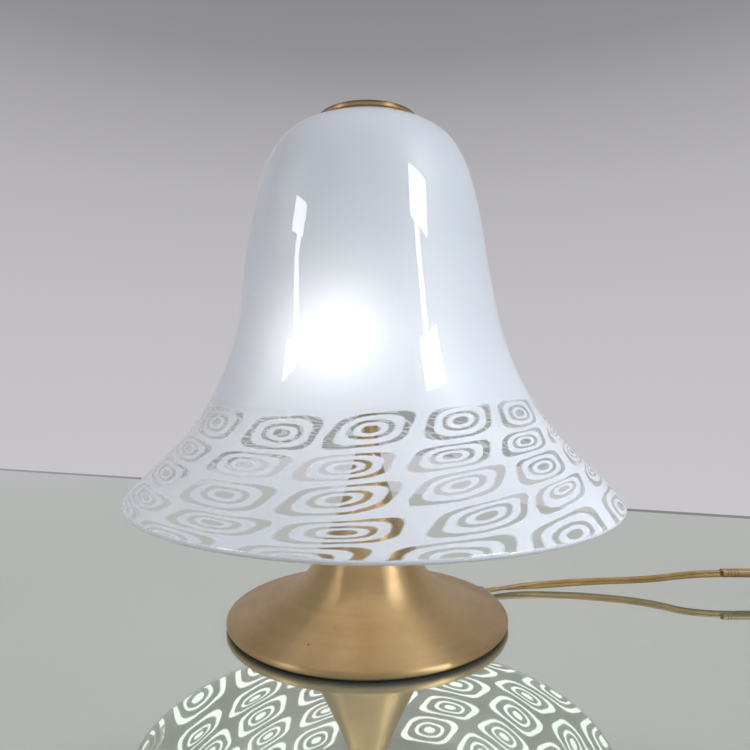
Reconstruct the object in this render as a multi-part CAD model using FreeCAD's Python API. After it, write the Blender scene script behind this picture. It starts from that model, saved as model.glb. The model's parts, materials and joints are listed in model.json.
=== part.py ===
import FreeCAD, Part
import math
import os

V = FreeCAD.Vector

# Table lamp with a blown bell shade on a spun brass foot. Millimetres, +Z up.
# The origin is the middle of the foot's underside, on the table.
# +X runs to the right and +Y to the back. The cord leaves to the back right.

# Foot: spun brass trumpet
rim_radius = 95.0
rim_height = 4.2
rim_rounding = 2.4
rim_lip = 4.5
brass_wall = 1.2
rim_clearance = 1.2
knee_radius = 44.5
knee_height = 23.7
knee_fillet = 34.0
neck_radius = 6.5
neck_height = 102.0
neck_fillet = 155.0
column_height = 140.0

# Foot: plate, felt and weight
plate_thickness = 1.5
plate_play = 0.1
felt_inner_radius = 26.0
felt_play = 0.4
spanner_hole_radius = 17.0
ballast_inset = 7.0
ballast_height = 14.0
ballast_play = 0.1
hub_radius = 22.0
hub_height = 30.0

# Rod and the stack on the column
rod_radius = 5.0
rod_bore = 3.5
rod_top_play = 0.6
rod_hole_play = 0.15
rod_start = 12.1
nut_flats = 14.0
nut_height = 5.0
washer_radius = 12.0
washer_thickness = 1.5
column_ring_radius = 9.0
column_ring_height = 2.5
arm_thickness = 2.0
arm_half_width = 8.0
slot_height = 11.0
slot_width = 6.2
stack_gap = 0.5
sleeve_radius = 7.0

# Lamp holder on the side arm, and its small screw bulb
holder_reach = 27.3
holder_angle = -98.4
holder_radius = 13.5
holder_wall = 1.5
holder_floor = 2.5
cup_height = 17.5
holder_height = 32.5
insert_height = 4.5
insert_play = 0.4
thread_radius = 7.03
thread_wall = 0.65
thread_height = 22.0
thread_play = 0.08
contact_height = 2.0
contact_radius = 2.6
bulb_gap = 0.15
bulb_tip_height = 1.4
bulb_cone_height = 3.0
bulb_cap_height = 18.0
bulb_glass_radius = 13.5
bulb_glass_height = 36.0
bulb_glass_wall = 0.8
arm_screw_radius = 2.0
arm_screw_head = 3.5
arm_screw_head_height = 1.4

# Shade: blown bell. Radii, and drops below the flat land round its hole.
shade_land_height = 338.4
glass_wall = 4.0
clear_layer = 2.6
shade_hole_radius = 11.0
land_radius = 27.0
brow_radius, brow_drop = 51.5, 8.4
temple_radius, temple_drop = 66.5, 27.6
cheek_radius, cheek_drop = 75.5, 56.4
side_radius, side_drop = 82.8, 98.4
waist_radius, waist_drop = 90.1, 143.4
opal_edge_radius, opal_edge_drop = 108.1, 188.4
flare_radius, flare_drop = 128.5, 216.4
skirt_radius, skirt_drop = 147.7, 235.4
mouth_radius, mouth_drop = 161.5, 249.8

# Seat under the crown and the cap on it
gasket_thickness = 1.2
gasket_inset = 1.0
seat_thickness = 1.5
seat_radius = 30.0
cap_gasket_thickness = 1.0
cap_radius = 34.5
cap_skirt = 3.0
cap_edge_height = 2.1
cap_rounding = 1.1
cap_rise = 4.6
cap_boss_radius = 8.0
cap_thread_depth = 3.2
cap_bore_play = 0.08

# Cord
cord_diameter = 5.4
cord_play = 0.05
exit_angle = 25.0
exit_height = 2.9
notch_radius = 3.6
grommet_length = 6.6
grommet_proud = 0.6
grommet_foot = 0.3
groove_play = 0.4
lead_height = 6.9
lead_ramp_inset = 15.0
lead_ramp_run = 18.0
lead_straight = 16.0
lead_bend = 11.0
lead_top_bend = 8.0
clamp_inset = 12.0
clamp_width = 22.0
clamp_length = 8.0
clamp_height = 8.0
clamp_screw_spacing = 15.0
clamp_screw_radius = 1.4
clamp_screw_head = 2.8
clamp_screw_head_height = 2.0
screw_play = 0.1

# In-line switch
switch_x = 302.0
switch_y = 42.6
switch_length = 84.0
switch_width = 32.0
switch_axis_height = 16.0
switch_height = 31.0
switch_corner = 7.0
switch_top_rounding = 4.0
switch_bottom_rounding = 1.5
switch_wall = 2.0
boot_radius = 3.3
boot_length = 34.0
boot_swell_length = 11.0
boot_flange_radius = 5.6
boot_inside = 4.0
short_boot_length = 20.0
rib_count = 4
rib_pitch = 2.4
rib_start = 3.0
rib_depth = 0.35
cord_in_switch = 3.0
rocker_length = 22.0
rocker_width = 12.0
rocker_play = 0.3
rocker_depth = 7.0
rocker_proud = 1.6
rocker_tilt = 8.0
pivot_radius = 1.5
pivot_length = 2.4
pivot_play = 0.06
pivot_drop = 3.2
switch_screw_x = 31.0
switch_screw_y = 8.5
switch_boss_radius = 3.4
switch_screw_radius = 1.45
switch_screw_length = 22.0
switch_screw_head = 2.8
switch_screw_head_height = 1.7

# Put-away coil: turns side by side in two layers, and its tie
coil_pitch = 6.0
coil_outer_radius = 41.0
coil_in_quarters = 14
coil_climb_quarters = 2
coil_out_quarters = 13
coil_inner_radius = 19.5
coil_climb_radius = 17.6
coil_x = 395.0
coil_y = -76.4
tie_thickness = 0.8
tie_width = 5.0
tie_play = 0.35
tie_quarter = 2

# Flat two-pin plug
plug_axis_height = 7.0
plug_x = 329.0
plug_length = 35.0
plug_width = 26.5
plug_height = 13.7
plug_tail_width = 13.0
plug_tail_height = 11.0
plug_corner = 4.5
plug_socket = 8.0
plug_cord_depth = 4.0
plug_boot_length = 22.0
plug_boot_radius = 5.0
pin_radius = 2.0
pin_core_radius = 1.3
pin_sleeve_radius = 1.75
pin_spacing = 18.6
pin_length = 19.0
pin_sleeve_length = 10.0
pin_rooted = 8.0

# Sizes under the foot that follow from its rim
ballast_radius = rim_radius - ballast_inset
lead_ramp_start = rim_radius - lead_ramp_inset
lead_ramp_end = lead_ramp_start - lead_ramp_run
clamp_distance = lead_ramp_end - clamp_inset

# Heights that follow from the sizes above
brass_foot = rim_clearance
plate_bottom = brass_foot + brass_wall
plate_top = plate_bottom + plate_thickness
rod_bottom = plate_top + rod_start
bottom_nut_z = rod_bottom + 1.0
bottom_washer_z = bottom_nut_z + nut_height
ballast_ceiling = bottom_washer_z + washer_thickness
ring_z = column_height
arm_z = ring_z + column_ring_height
arm_nut_z = arm_z + arm_thickness
slot_z = arm_nut_z + nut_height + stack_gap
sleeve_nut_z = slot_z + slot_height + stack_gap
sleeve_z = sleeve_nut_z + nut_height
holder_z = arm_z + arm_thickness
insert_z = holder_z + holder_floor
thread_z = insert_z + insert_height
bulb_z = thread_z + contact_height + bulb_gap
bulb_cap_z = bulb_z + bulb_tip_height + bulb_cone_height
bulb_glass_z = bulb_cap_z + bulb_cap_height
lead_top = slot_z + slot_height / 2 + 1.5
inner_land = shade_land_height - glass_wall
seat_gasket_z = inner_land - gasket_thickness
seat_z = seat_gasket_z - seat_thickness
cap_z = shade_land_height + cap_gasket_thickness
rod_top = cap_z + cap_thread_depth
cord_radius = cord_diameter / 2
rod_hole = rod_radius + rod_hole_play
holder_x = holder_reach * math.cos(math.radians(holder_angle))
holder_y = holder_reach * math.sin(math.radians(holder_angle))
exit_direction = V(math.cos(math.radians(exit_angle)), math.sin(math.radians(exit_angle)), 0)
coil_low = tie_thickness + 0.2 + cord_radius
coil_high = coil_low + coil_pitch
coil_middle = V(coil_x, coil_y, 0)
plug_y = coil_y - coil_inner_radius - coil_pitch / 4 * coil_out_quarters

# Routes of the free cord, chosen by hand
lead_route = [
    exit_direction * rim_radius + V(0, 0, exit_height),
    exit_direction * (rim_radius + lead_straight) + V(0, 0, exit_height),
    V(134.0, 52.5, 3.6),
    V(176.0, 53.8, 6.0),
    V(216.0, 48.6, 8.8),
    V(251.0, switch_y, switch_axis_height),
    V(switch_x + cord_in_switch, switch_y, switch_axis_height),
]
link_route = [
    V(switch_x + switch_length - cord_in_switch, switch_y, switch_axis_height),
    V(418.0, switch_y, switch_axis_height),
    V(coil_x + coil_outer_radius, 25.0, 11.6),
    V(coil_x + coil_outer_radius, -5.5, coil_low),
    V(coil_x + coil_outer_radius, coil_y + cord_diameter, coil_low),
]
tail_route = [
    V(coil_x - cord_diameter, plug_y, coil_high),
    V(378.0, plug_y, coil_high),
    V(360.0, plug_y, plug_axis_height),
    V(plug_x - plug_cord_depth, plug_y, plug_axis_height),
]


def line(a, b):
    return Part.LineSegment(a, b).toShape()


def arc(a, b, c):
    """Arc from a through b to c."""
    return Part.Arc(a, b, c).toShape()


def flat(r, z):
    """A point of a turned section."""
    return V(r, 0, z)


def turned(edges):
    """Closed section in the XZ plane, turned about the vertical axis."""
    wire = Part.Wire(Part.sortEdges(edges)[0])
    return Part.Face(wire).revolve(V(0, 0, 0), V(0, 0, 1), 360)


def turned_polygon(points):
    corners = [flat(r, z) for r, z in points]
    return turned([line(a, b) for a, b in zip(corners, corners[1:] + corners[:1])])


def tube(outer, inner, low, high):
    """Upright ring about the vertical axis."""
    ring = Part.makeCylinder(outer, high - low, V(0, 0, low))
    return ring.cut(Part.makeCylinder(inner, high - low, V(0, 0, low)))


def box(x0, x1, y0, y1, z0, z1):
    return Part.makeBox(x1 - x0, y1 - y0, z1 - z0, V(x0, y0, z0))


def moved(shape, x, y, z=0.0):
    copy = shape.copy()
    copy.translate(V(x, y, z))
    return copy


def spun(shape, angle):
    """Shape turned about the vertical axis through the origin."""
    copy = shape.copy()
    copy.rotate(V(0, 0, 0), V(0, 0, 1), angle)
    return copy


def at_exit(shape):
    return spun(shape, exit_angle)


def hex_nut(low):
    corner = nut_flats / math.sqrt(3)
    turns = [math.radians(60 * i) for i in range(7)]
    outline = Part.makePolygon([V(corner * math.cos(t), corner * math.sin(t), low) for t in turns])
    block = Part.Face(outline).extrude(V(0, 0, nut_height))
    return block.cut(Part.makeCylinder(rod_radius, nut_height, V(0, 0, low)))


def fitting_reaches(corners, radii):
    """Tangent length at each corner, shortened where a run is too short for its arcs."""
    reaches = [0.0]
    for before, corner, after, radius in zip(corners, corners[1:], corners[2:], radii):
        turn = (corner - before).getAngle(after - corner)
        reaches.append(radius * math.tan(turn / 2))
    reaches.append(0.0)
    for i in range(len(corners) - 1):
        room = 0.98 * (corners[i + 1] - corners[i]).Length
        wanted = reaches[i] + reaches[i + 1]
        if wanted > room:
            reaches[i] *= room / wanted
            reaches[i + 1] *= room / wanted
    return reaches


def rounded_run(corners, reaches):
    """Straight runs joined by tangent arcs, which start a reach before each corner."""
    edges = []
    start = corners[0]
    for before, corner, after, reach in zip(corners, corners[1:], corners[2:], reaches[1:]):
        entry = corner + (before - corner).normalize() * reach
        leave = corner + (after - corner).normalize() * reach
        chord = (entry + leave) * 0.5
        cosine = (leave - entry).Length / 2 / reach
        middle = chord + (corner - chord) * (cosine / (1 + cosine))
        if (entry - start).Length > 1e-6:
            edges.append(line(start, entry))
        edges.append(arc(entry, middle, leave))
        start = leave
    edges.append(line(start, corners[-1]))
    return edges


def inner_run(corners, reaches, wall):
    """The same run, a wall's thickness to its left, with arcs about the same centres."""
    lefts = []
    for a, b in zip(corners, corners[1:]):
        along = (b - a).normalize()
        lefts.append(V(-along.z, 0, along.x))
    moved_corners = [corners[0] + lefts[0] * wall]
    moved_reaches = [0.0]
    for i in range(1, len(corners) - 1):
        before = (corners[i] - corners[i - 1]).normalize()
        after = (corners[i + 1] - corners[i]).normalize()
        turn = before.getAngle(after)
        bisector = lefts[i - 1] + lefts[i]
        shift = bisector.normalize() * (wall / math.cos(turn / 2))
        moved_corners.append(corners[i] + shift)
        side = 1.0 if after.dot(lefts[i - 1]) > 0 else -1.0
        moved_reaches.append(reaches[i] - side * wall * math.tan(turn / 2))
    moved_corners.append(corners[-1] + lefts[-1] * wall)
    moved_reaches.append(0.0)
    return moved_corners, moved_reaches


def arc_reaches(route):
    """Each arc of a free cord is as large as its two runs allow."""
    reaches = [0.0]
    for before, corner, after in zip(route, route[1:], route[2:]):
        reaches.append(0.45 * min((corner - before).Length, (after - corner).Length))
    return reaches + [0.0]


def swept(edges, radius):
    """Round tube along a chain of tangent edges."""
    path = Part.Wire(edges)
    first = edges[0]
    along = first.tangentAt(first.FirstParameter)
    ring = Part.Wire(Part.makeCircle(radius, first.valueAt(first.FirstParameter), along))
    solid = path.makePipeShell([ring], True, False)
    share = solid.Volume / (math.pi * radius ** 2 * path.Length)
    return solid, path.Length, share


def free_cord(name, route):
    reaches = arc_reaches(route)
    radii = []
    for before, corner, after, reach in zip(route, route[1:], route[2:], reaches[1:]):
        turn = (corner - before).getAngle(after - corner)
        radii.append(reach / math.tan(turn / 2))
    solid, length, share = swept(rounded_run(route, reaches), cord_radius)
    print(name, "length", round(length, 1), "radii", [round(r, 1) for r in radii],
          "volume share", round(share, 4))
    return solid


# Foot

def trumpet_corners():
    return [
        flat(rim_radius - rim_lip, brass_foot),
        flat(rim_radius, brass_foot),
        flat(rim_radius, brass_foot + rim_height),
        flat(knee_radius, knee_height),
        flat(neck_radius, neck_height),
        flat(neck_radius, column_height),
    ]


def trumpet_inside_height(radius):
    """Height of the flare's inner face above a radius."""
    outer_z = brass_foot + rim_height
    slope = (knee_height - outer_z) / (rim_radius - knee_radius)
    return outer_z + slope * (rim_radius - radius) - brass_wall * math.hypot(1, slope)


def exit_notch(first, last, radius):
    """Round-topped notch, open below, where the cord leaves under the rim."""
    hole = Part.makeCylinder(radius, last - first, V(first, 0, exit_height), V(1, 0, 0))
    return at_exit(hole.fuse(box(first, last, -radius, radius, 0, exit_height)))


def make_base_shell():
    corners = trumpet_corners()
    reaches = fitting_reaches(corners, [rim_rounding, rim_rounding, knee_fillet, neck_fillet])
    inner, inner_reaches = inner_run(corners, reaches, brass_wall)
    edges = rounded_run(corners, reaches) + rounded_run(inner, inner_reaches)
    edges += [line(corners[0], inner[0]), line(corners[-1], inner[-1])]
    return turned(edges).cut(exit_notch(rim_radius - rim_lip - 4, rim_radius + 1, notch_radius))


def make_felt_pad():
    outer = rim_radius - rim_lip - felt_play
    ring = tube(outer, felt_inner_radius, 0, plate_bottom)
    return ring.cut(exit_notch(lead_ramp_end + 8, rim_radius, notch_radius + 0.2))


def clamp_screw_places():
    half = clamp_screw_spacing / 2
    return [V(clamp_distance, -half, 0), V(clamp_distance, half, 0)]


def make_base_plate():
    outer = rim_radius - rim_rounding - plate_play
    plate = tube(outer, spanner_hole_radius, plate_bottom, plate_top)
    for place in clamp_screw_places():
        centre = place + V(0, 0, plate_bottom)
        hole = Part.makeCylinder(clamp_screw_radius + screw_play, plate_thickness, centre)
        plate = plate.cut(at_exit(hole))
    half = notch_radius + 0.2
    slot = box(lead_ramp_end - 2, rim_radius, -half, half, plate_bottom, plate_top)
    return plate.cut(at_exit(slot))


def make_ballast():
    edge_z = trumpet_inside_height(ballast_radius) - ballast_play
    rise = trumpet_inside_height(knee_radius) - trumpet_inside_height(ballast_radius)
    slope = rise / (ballast_radius - knee_radius)
    top_z = plate_top + ballast_height
    shoulder = ballast_radius - (top_z - edge_z) / slope
    hub_top = plate_top + hub_height
    weight = turned_polygon([
        (spanner_hole_radius, plate_top),
        (ballast_radius, plate_top),
        (ballast_radius, edge_z),
        (shoulder, top_z),
        (hub_radius, top_z),
        (hub_radius, hub_top),
        (rod_hole, hub_top),
        (rod_hole, ballast_ceiling),
        (spanner_hole_radius, ballast_ceiling),
    ])
    half = cord_radius + groove_play
    groove = box(rod_hole, rim_radius, -half, half, plate_top, lead_height + half)
    pocket_half = clamp_width / 2 + 2
    pocket = box(clamp_distance - clamp_length, clamp_distance + clamp_length, -pocket_half, pocket_half,
                 plate_top, plate_top + clamp_height + clamp_screw_head_height + 1)
    return weight.cut(at_exit(groove.fuse(pocket)))


def make_tie_rod():
    rod = tube(rod_radius, rod_bore, rod_bottom, rod_top)
    slot = box(0, rod_radius + 1, -slot_width / 2, slot_width / 2, slot_z, slot_z + slot_height)
    return rod.cut(spun(slot, holder_angle))


def make_column_ring():
    bulge = column_ring_height / 2
    shoulder = column_ring_radius - bulge
    belly = flat(column_ring_radius, ring_z + bulge)
    edges = [
        line(flat(rod_hole, ring_z), flat(shoulder, ring_z)),
        arc(flat(shoulder, ring_z), belly, flat(shoulder, arm_z)),
        line(flat(shoulder, arm_z), flat(rod_hole, arm_z)),
        line(flat(rod_hole, arm_z), flat(rod_hole, ring_z)),
    ]
    return turned(edges)


def make_lamp_bracket():
    """Flat arm with round ends, from the rod to the lamp holder."""
    rod_end = Part.makeCylinder(arm_half_width, arm_thickness, V(0, 0, arm_z))
    holder_end = Part.makeCylinder(arm_half_width, arm_thickness, V(holder_reach, 0, arm_z))
    bar = box(0, holder_reach, -arm_half_width, arm_half_width, arm_z, arm_nut_z)
    arm = rod_end.fuse([holder_end, bar]).removeSplitter()
    arm = arm.cut(Part.makeCylinder(rod_hole, arm_thickness, V(0, 0, arm_z)))
    arm = arm.cut(Part.makeCylinder(arm_screw_radius + screw_play, arm_thickness, V(holder_reach, 0, arm_z)))
    return spun(arm, holder_angle)


# Lamp holder and bulb, made on the vertical axis and then moved out on the arm

def at_holder(shape):
    return moved(shape, holder_x, holder_y)


def make_holder_screw():
    head = Part.makeCylinder(arm_screw_head, arm_screw_head_height, V(0, 0, arm_z - arm_screw_head_height))
    edge = [e for e in head.Edges if e.BoundBox.ZMax < arm_z - arm_screw_head_height / 2]
    head = head.makeFillet(arm_screw_head_height / 2, edge)
    shank = Part.makeCylinder(arm_screw_radius, thread_z - 0.5 - arm_z, V(0, 0, arm_z))
    return at_holder(head.fuse(shank))


def make_holder_cup():
    top = holder_z + cup_height
    inner = holder_radius - holder_wall
    cup = turned_polygon([
        (arm_screw_radius + screw_play, holder_z),
        (holder_radius - 1, holder_z),
        (holder_radius, holder_z + 1),
        (holder_radius, top),
        (inner, top),
        (inner, insert_z),
        (arm_screw_radius + screw_play, insert_z),
    ])
    entry = Part.makeCylinder(cord_radius + 0.2, holder_radius, V(0, 0, lead_top), V(-1, 0, 0))
    return at_holder(cup.cut(spun(entry, holder_angle)))


def make_holder_shell():
    low = holder_z + cup_height
    top = holder_z + holder_height
    neck = thread_radius + thread_wall + 0.3
    inner = holder_radius - holder_wall
    shoulder = flat(neck + 2.4, top - 1)
    edges = [
        line(flat(inner, low), flat(holder_radius, low)),
        line(flat(holder_radius, low), flat(holder_radius, low + 2)),
        arc(flat(holder_radius, low + 2), flat(holder_radius - 0.9, low + 7), shoulder),
        line(shoulder, flat(neck + 1.6, top)),
        line(flat(neck + 1.6, top), flat(neck, top)),
        line(flat(neck, top), flat(neck, top - 1.5)),
        line(flat(neck, top - 1.5), flat(inner, low + 4)),
        line(flat(inner, low + 4), flat(inner, low)),
    ]
    return at_holder(turned(edges))


def make_holder_insert():
    radius = holder_radius - holder_wall - insert_play
    block = Part.makeCylinder(radius, insert_height, V(0, 0, insert_z))
    return at_holder(block.cut(Part.makeCylinder(arm_screw_radius, insert_height - 0.5, V(0, 0, insert_z))))


def make_holder_thread():
    return at_holder(tube(thread_radius + thread_wall, thread_radius, thread_z, thread_z + thread_height))


def make_holder_contact():
    disc = Part.makeCylinder(contact_radius, contact_height, V(0, 0, thread_z))
    top = [e for e in disc.Edges if e.BoundBox.ZMin > thread_z + contact_height / 2]
    return at_holder(disc.makeFillet(contact_height * 0.4, top))


def make_bulb_contact():
    cap_radius_here = thread_radius - thread_play
    tip = turned_polygon([
        (0, bulb_z),
        (2.2, bulb_z),
        (2.6, bulb_z + bulb_tip_height),
        (cap_radius_here - 0.6, bulb_cap_z),
        (0, bulb_cap_z),
    ])
    return at_holder(tip)


def make_bulb_cap():
    radius = thread_radius - thread_play
    return at_holder(Part.makeCylinder(radius, bulb_cap_height, V(0, 0, bulb_cap_z)))


def bulb_outline(inset):
    """Half of the bulb's round glass, from its neck to its crown."""
    neck = thread_radius - 0.8 - inset
    wide_z = bulb_glass_z + bulb_glass_height - bulb_glass_radius
    crown = bulb_glass_z + bulb_glass_height - inset
    wide = bulb_glass_radius - inset
    diagonal = wide / math.sqrt(2)
    flank = flat((neck + wide) / 2 + 0.3, (bulb_glass_z + wide_z) / 2)
    curve = Part.BSplineCurve()
    curve.interpolate(Points=[flat(neck, bulb_glass_z), flank, flat(wide, wide_z)],
                      InitialTangent=V(0.2, 0, 1), FinalTangent=V(0, 0, 1))
    dome = arc(flat(wide, wide_z), flat(diagonal, wide_z + diagonal), flat(0, crown))
    return curve.toShape(), dome


def make_bulb_glass():
    side, dome = bulb_outline(0)
    inner_side, inner_dome = bulb_outline(bulb_glass_wall)
    neck = thread_radius - 0.8
    crown = bulb_glass_z + bulb_glass_height
    edges = [side, dome, inner_side, inner_dome,
             line(flat(neck, bulb_glass_z), flat(neck - bulb_glass_wall, bulb_glass_z)),
             line(flat(0, crown), flat(0, crown - bulb_glass_wall))]
    return at_holder(turned(edges))


# Shade

def shade_stations():
    """Outline of the bell from the land round its hole down to its mouth."""
    places = [
        (land_radius, 0.0),
        (brow_radius, brow_drop),
        (temple_radius, temple_drop),
        (cheek_radius, cheek_drop),
        (side_radius, side_drop),
        (waist_radius, waist_drop),
        (opal_edge_radius, opal_edge_drop),
        (flare_radius, flare_drop),
        (skirt_radius, skirt_drop),
        (mouth_radius, mouth_drop),
    ]
    return [flat(r, shade_land_height - drop) for r, drop in places]


def bell_curve(points):
    """Smooth curve through the stations that leaves the flat land level."""
    curve = Part.BSplineCurve()
    level_first = [True] + [False] * (len(points) - 1)
    curve.interpolate(Points=points, Tangents=[V(1, 0, 0)] * len(points), TangentFlags=level_first)
    return curve


def inside(curve, points, depth):
    """The same stations, a depth below the glass's outer face."""
    result = []
    for point in points:
        along = curve.tangent(curve.parameter(point))[0]
        result.append(point + V(along.z, 0, -along.x) * depth)
    return result


def part_of(curve, a, b):
    return Part.Edge(curve, curve.parameter(a), curve.parameter(b))


def shade_layers():
    """Clear glass outside, and the white layer cased inside its upper part."""
    outer_points = shade_stations()
    outer = bell_curve(outer_points)
    middle_points = inside(outer, outer_points, clear_layer)
    inner_points = inside(outer, outer_points, glass_wall)
    middle = bell_curve(middle_points)
    inner = bell_curve(inner_points)
    edge = [p.z for p in outer_points].index(shade_land_height - opal_edge_drop)
    hole = shade_hole_radius
    top, join, bottom = shade_land_height, shade_land_height - clear_layer, inner_land
    mouth, lip = outer_points[-1], inner_points[-1]
    lip_middle = (mouth + lip) * 0.5 + outer.tangent(outer.LastParameter)[0] * (glass_wall / 2)
    clear = [
        outer.toShape(),
        arc(mouth, lip_middle, lip),
        part_of(inner, inner_points[edge], lip),
        line(inner_points[edge], middle_points[edge]),
        part_of(middle, middle_points[0], middle_points[edge]),
        line(middle_points[0], flat(hole, join)),
        line(flat(hole, join), flat(hole, top)),
        line(flat(hole, top), outer_points[0]),
    ]
    opal = [
        part_of(middle, middle_points[0], middle_points[edge]),
        line(middle_points[edge], inner_points[edge]),
        part_of(inner, inner_points[0], inner_points[edge]),
        line(inner_points[0], flat(hole, bottom)),
        line(flat(hole, bottom), flat(hole, join)),
        line(flat(hole, join), middle_points[0]),
    ]
    return turned(clear), turned(opal)


def make_shade_seat():
    """Shallow brass disc whose rim is turned down, with a collar on the rod."""
    return turned_polygon([
        (rod_hole, seat_z),
        (seat_radius - 1.5, seat_z),
        (seat_radius - 1.5, seat_z - 2),
        (seat_radius, seat_z - 2),
        (seat_radius, seat_gasket_z - 0.6),
        (seat_radius - 0.6, seat_gasket_z),
        (rod_hole, seat_gasket_z),
    ])


def make_shade_cap():
    """Turned brass cap: shallow dome, rounded edge and a threaded boss below."""
    edge_z = cap_z + cap_edge_height
    skirt_z = shade_land_height
    inner_skirt = cap_radius - cap_skirt
    bore = rod_radius + cap_bore_play
    boss_z = seat_gasket_z + 0.4
    dome_start = cap_radius - cap_rounding
    crown = edge_z + cap_rise
    half = dome_start / 2
    sphere = (dome_start ** 2 + cap_rise ** 2) / (2 * cap_rise)
    dome_middle = flat(half, crown - sphere + math.sqrt(sphere ** 2 - half ** 2))
    ceiling = rod_top + rod_top_play
    diagonal = cap_rounding * (1 - math.sqrt(0.5))
    edges = [
        arc(flat(0, crown), dome_middle, flat(dome_start, edge_z)),
        arc(flat(dome_start, edge_z), flat(cap_radius - diagonal, edge_z - diagonal),
                 flat(cap_radius, edge_z - cap_rounding)),
        line(flat(cap_radius, edge_z - cap_rounding), flat(cap_radius, skirt_z)),
        line(flat(cap_radius, skirt_z), flat(inner_skirt, skirt_z)),
        line(flat(inner_skirt, skirt_z), flat(inner_skirt, cap_z)),
        line(flat(inner_skirt, cap_z), flat(cap_boss_radius, cap_z)),
        line(flat(cap_boss_radius, cap_z), flat(cap_boss_radius, boss_z)),
        line(flat(cap_boss_radius, boss_z), flat(bore, boss_z)),
        line(flat(bore, boss_z), flat(bore, ceiling)),
        line(flat(bore, ceiling), flat(0, ceiling)),
        line(flat(0, ceiling), flat(0, crown)),
    ]
    return turned(edges)


# Cord inside the lamp

def make_cord_grommet():
    first = rim_radius + grommet_proud - grommet_length
    last = rim_radius + grommet_proud
    sleeve = Part.makeCylinder(notch_radius - 0.05, grommet_length, V(first, 0, exit_height), V(1, 0, 0))
    bore = Part.makeCylinder(cord_radius + cord_play, grommet_length, V(first, 0, exit_height), V(1, 0, 0))
    floor = box(first, last, -notch_radius, notch_radius, -notch_radius, grommet_foot)
    return at_exit(sleeve.cut(bore).cut(floor))


def make_cord_clamp():
    half_width = clamp_width / 2
    first = clamp_distance - clamp_length / 2
    top = plate_top + clamp_height
    saddle = box(first, first + clamp_length, -half_width, half_width, plate_top, top)
    upright = [e for e in saddle.Edges if e.BoundBox.ZLength > clamp_height - 0.1]
    saddle = saddle.makeFillet(2, upright)
    bore = cord_radius + cord_play
    saddle = saddle.cut(Part.makeCylinder(bore, clamp_length, V(first, 0, lead_height), V(1, 0, 0)))
    saddle = saddle.cut(box(first, first + clamp_length, -bore, bore, plate_top, lead_height))
    for place in clamp_screw_places():
        hole = Part.makeCylinder(clamp_screw_radius + screw_play, clamp_height, place + V(0, 0, plate_top))
        saddle = saddle.cut(hole)
    return at_exit(saddle)


def make_clamp_screws():
    top = plate_top + clamp_height
    screws = []
    for place in clamp_screw_places():
        shank = Part.makeCylinder(clamp_screw_radius, top - plate_bottom, place + V(0, 0, plate_bottom))
        head = Part.makeCylinder(clamp_screw_head, clamp_screw_head_height, place + V(0, 0, top))
        rim = [e for e in head.Edges if e.BoundBox.ZMin > top + clamp_screw_head_height / 2]
        head = head.makeFillet(clamp_screw_head_height / 2, rim)
        screws.append(at_exit(head.fuse(shank)))
    return Part.makeCompound(screws)


def make_cord_inner():
    """Lead from the rim over the plate, up the rod and across to the holder."""
    out = exit_direction
    side = V(math.cos(math.radians(holder_angle)), math.sin(math.radians(holder_angle)), 0)
    route = [
        out * rim_radius + V(0, 0, exit_height),
        out * lead_ramp_start + V(0, 0, exit_height),
        out * lead_ramp_end + V(0, 0, lead_height),
        V(0, 0, lead_height),
        V(0, 0, lead_top),
        side * (holder_reach - holder_radius + holder_wall) + V(0, 0, lead_top),
    ]
    ramp_reach = 0.3 * (lead_ramp_start - lead_ramp_end)
    reaches = [0.0, ramp_reach, ramp_reach, lead_bend, lead_top_bend, 0.0]
    solid, length, share = swept(rounded_run(route, reaches), cord_radius)
    print("cord_inner length", round(length, 1), "volume share", round(share, 4))
    return solid


# In-line switch

def rounded_block(length, width, low, high, corner):
    """Upright block with rounded corners, its middle on the switch's axis."""
    half_length, half_width = length / 2, width / 2
    block = box(-half_length, half_length, -half_width, half_width, low, high)
    return block.makeFillet(corner, [e for e in block.Edges if e.BoundBox.ZLength > (high - low) - 0.1])


def at_switch(shape):
    return moved(shape, switch_x + switch_length / 2, switch_y)


def switch_screw_places():
    return [V(-switch_screw_x, switch_screw_y, 0), V(switch_screw_x, -switch_screw_y, 0)]


def switch_half(low, high, rounded_z, rounding, hollow_low, hollow_high):
    shell = rounded_block(switch_length, switch_width, low, high, switch_corner)
    rim = [e for e in shell.Edges if abs(e.BoundBox.ZMin - rounded_z) < 0.01 and e.BoundBox.ZLength < 0.01]
    shell = shell.makeFillet(rounding, rim)
    hollow = rounded_block(switch_length - 2 * switch_wall, switch_width - 2 * switch_wall,
                           hollow_low, hollow_high, switch_corner - switch_wall)
    shell = shell.cut(hollow)
    for place in switch_screw_places():
        boss = Part.makeCylinder(switch_boss_radius, hollow_high - hollow_low, place + V(0, 0, hollow_low))
        shell = shell.fuse(boss)
    entry = Part.makeCylinder(boot_flange_radius - 1.5, switch_length + 2,
                              V(-switch_length / 2 - 1, 0, switch_axis_height), V(1, 0, 0))
    middle = Part.makeCylinder(boot_flange_radius, switch_length - 4 * switch_wall,
                               V(-switch_length / 2 + 2 * switch_wall, 0, switch_axis_height), V(1, 0, 0))
    return shell.removeSplitter(), entry.cut(middle)


def make_switch_lower():
    shell, entry = switch_half(0, switch_axis_height, 0, switch_bottom_rounding,
                               switch_wall, switch_axis_height)
    shell = shell.cut(entry)
    for place in switch_screw_places():
        shell = shell.cut(Part.makeCylinder(1.6, switch_axis_height, place))
        shell = shell.cut(Part.makeCylinder(3.0, 2.2, place))
    return at_switch(shell)


def rocker_pivot_height():
    return switch_height - pivot_drop


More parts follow.
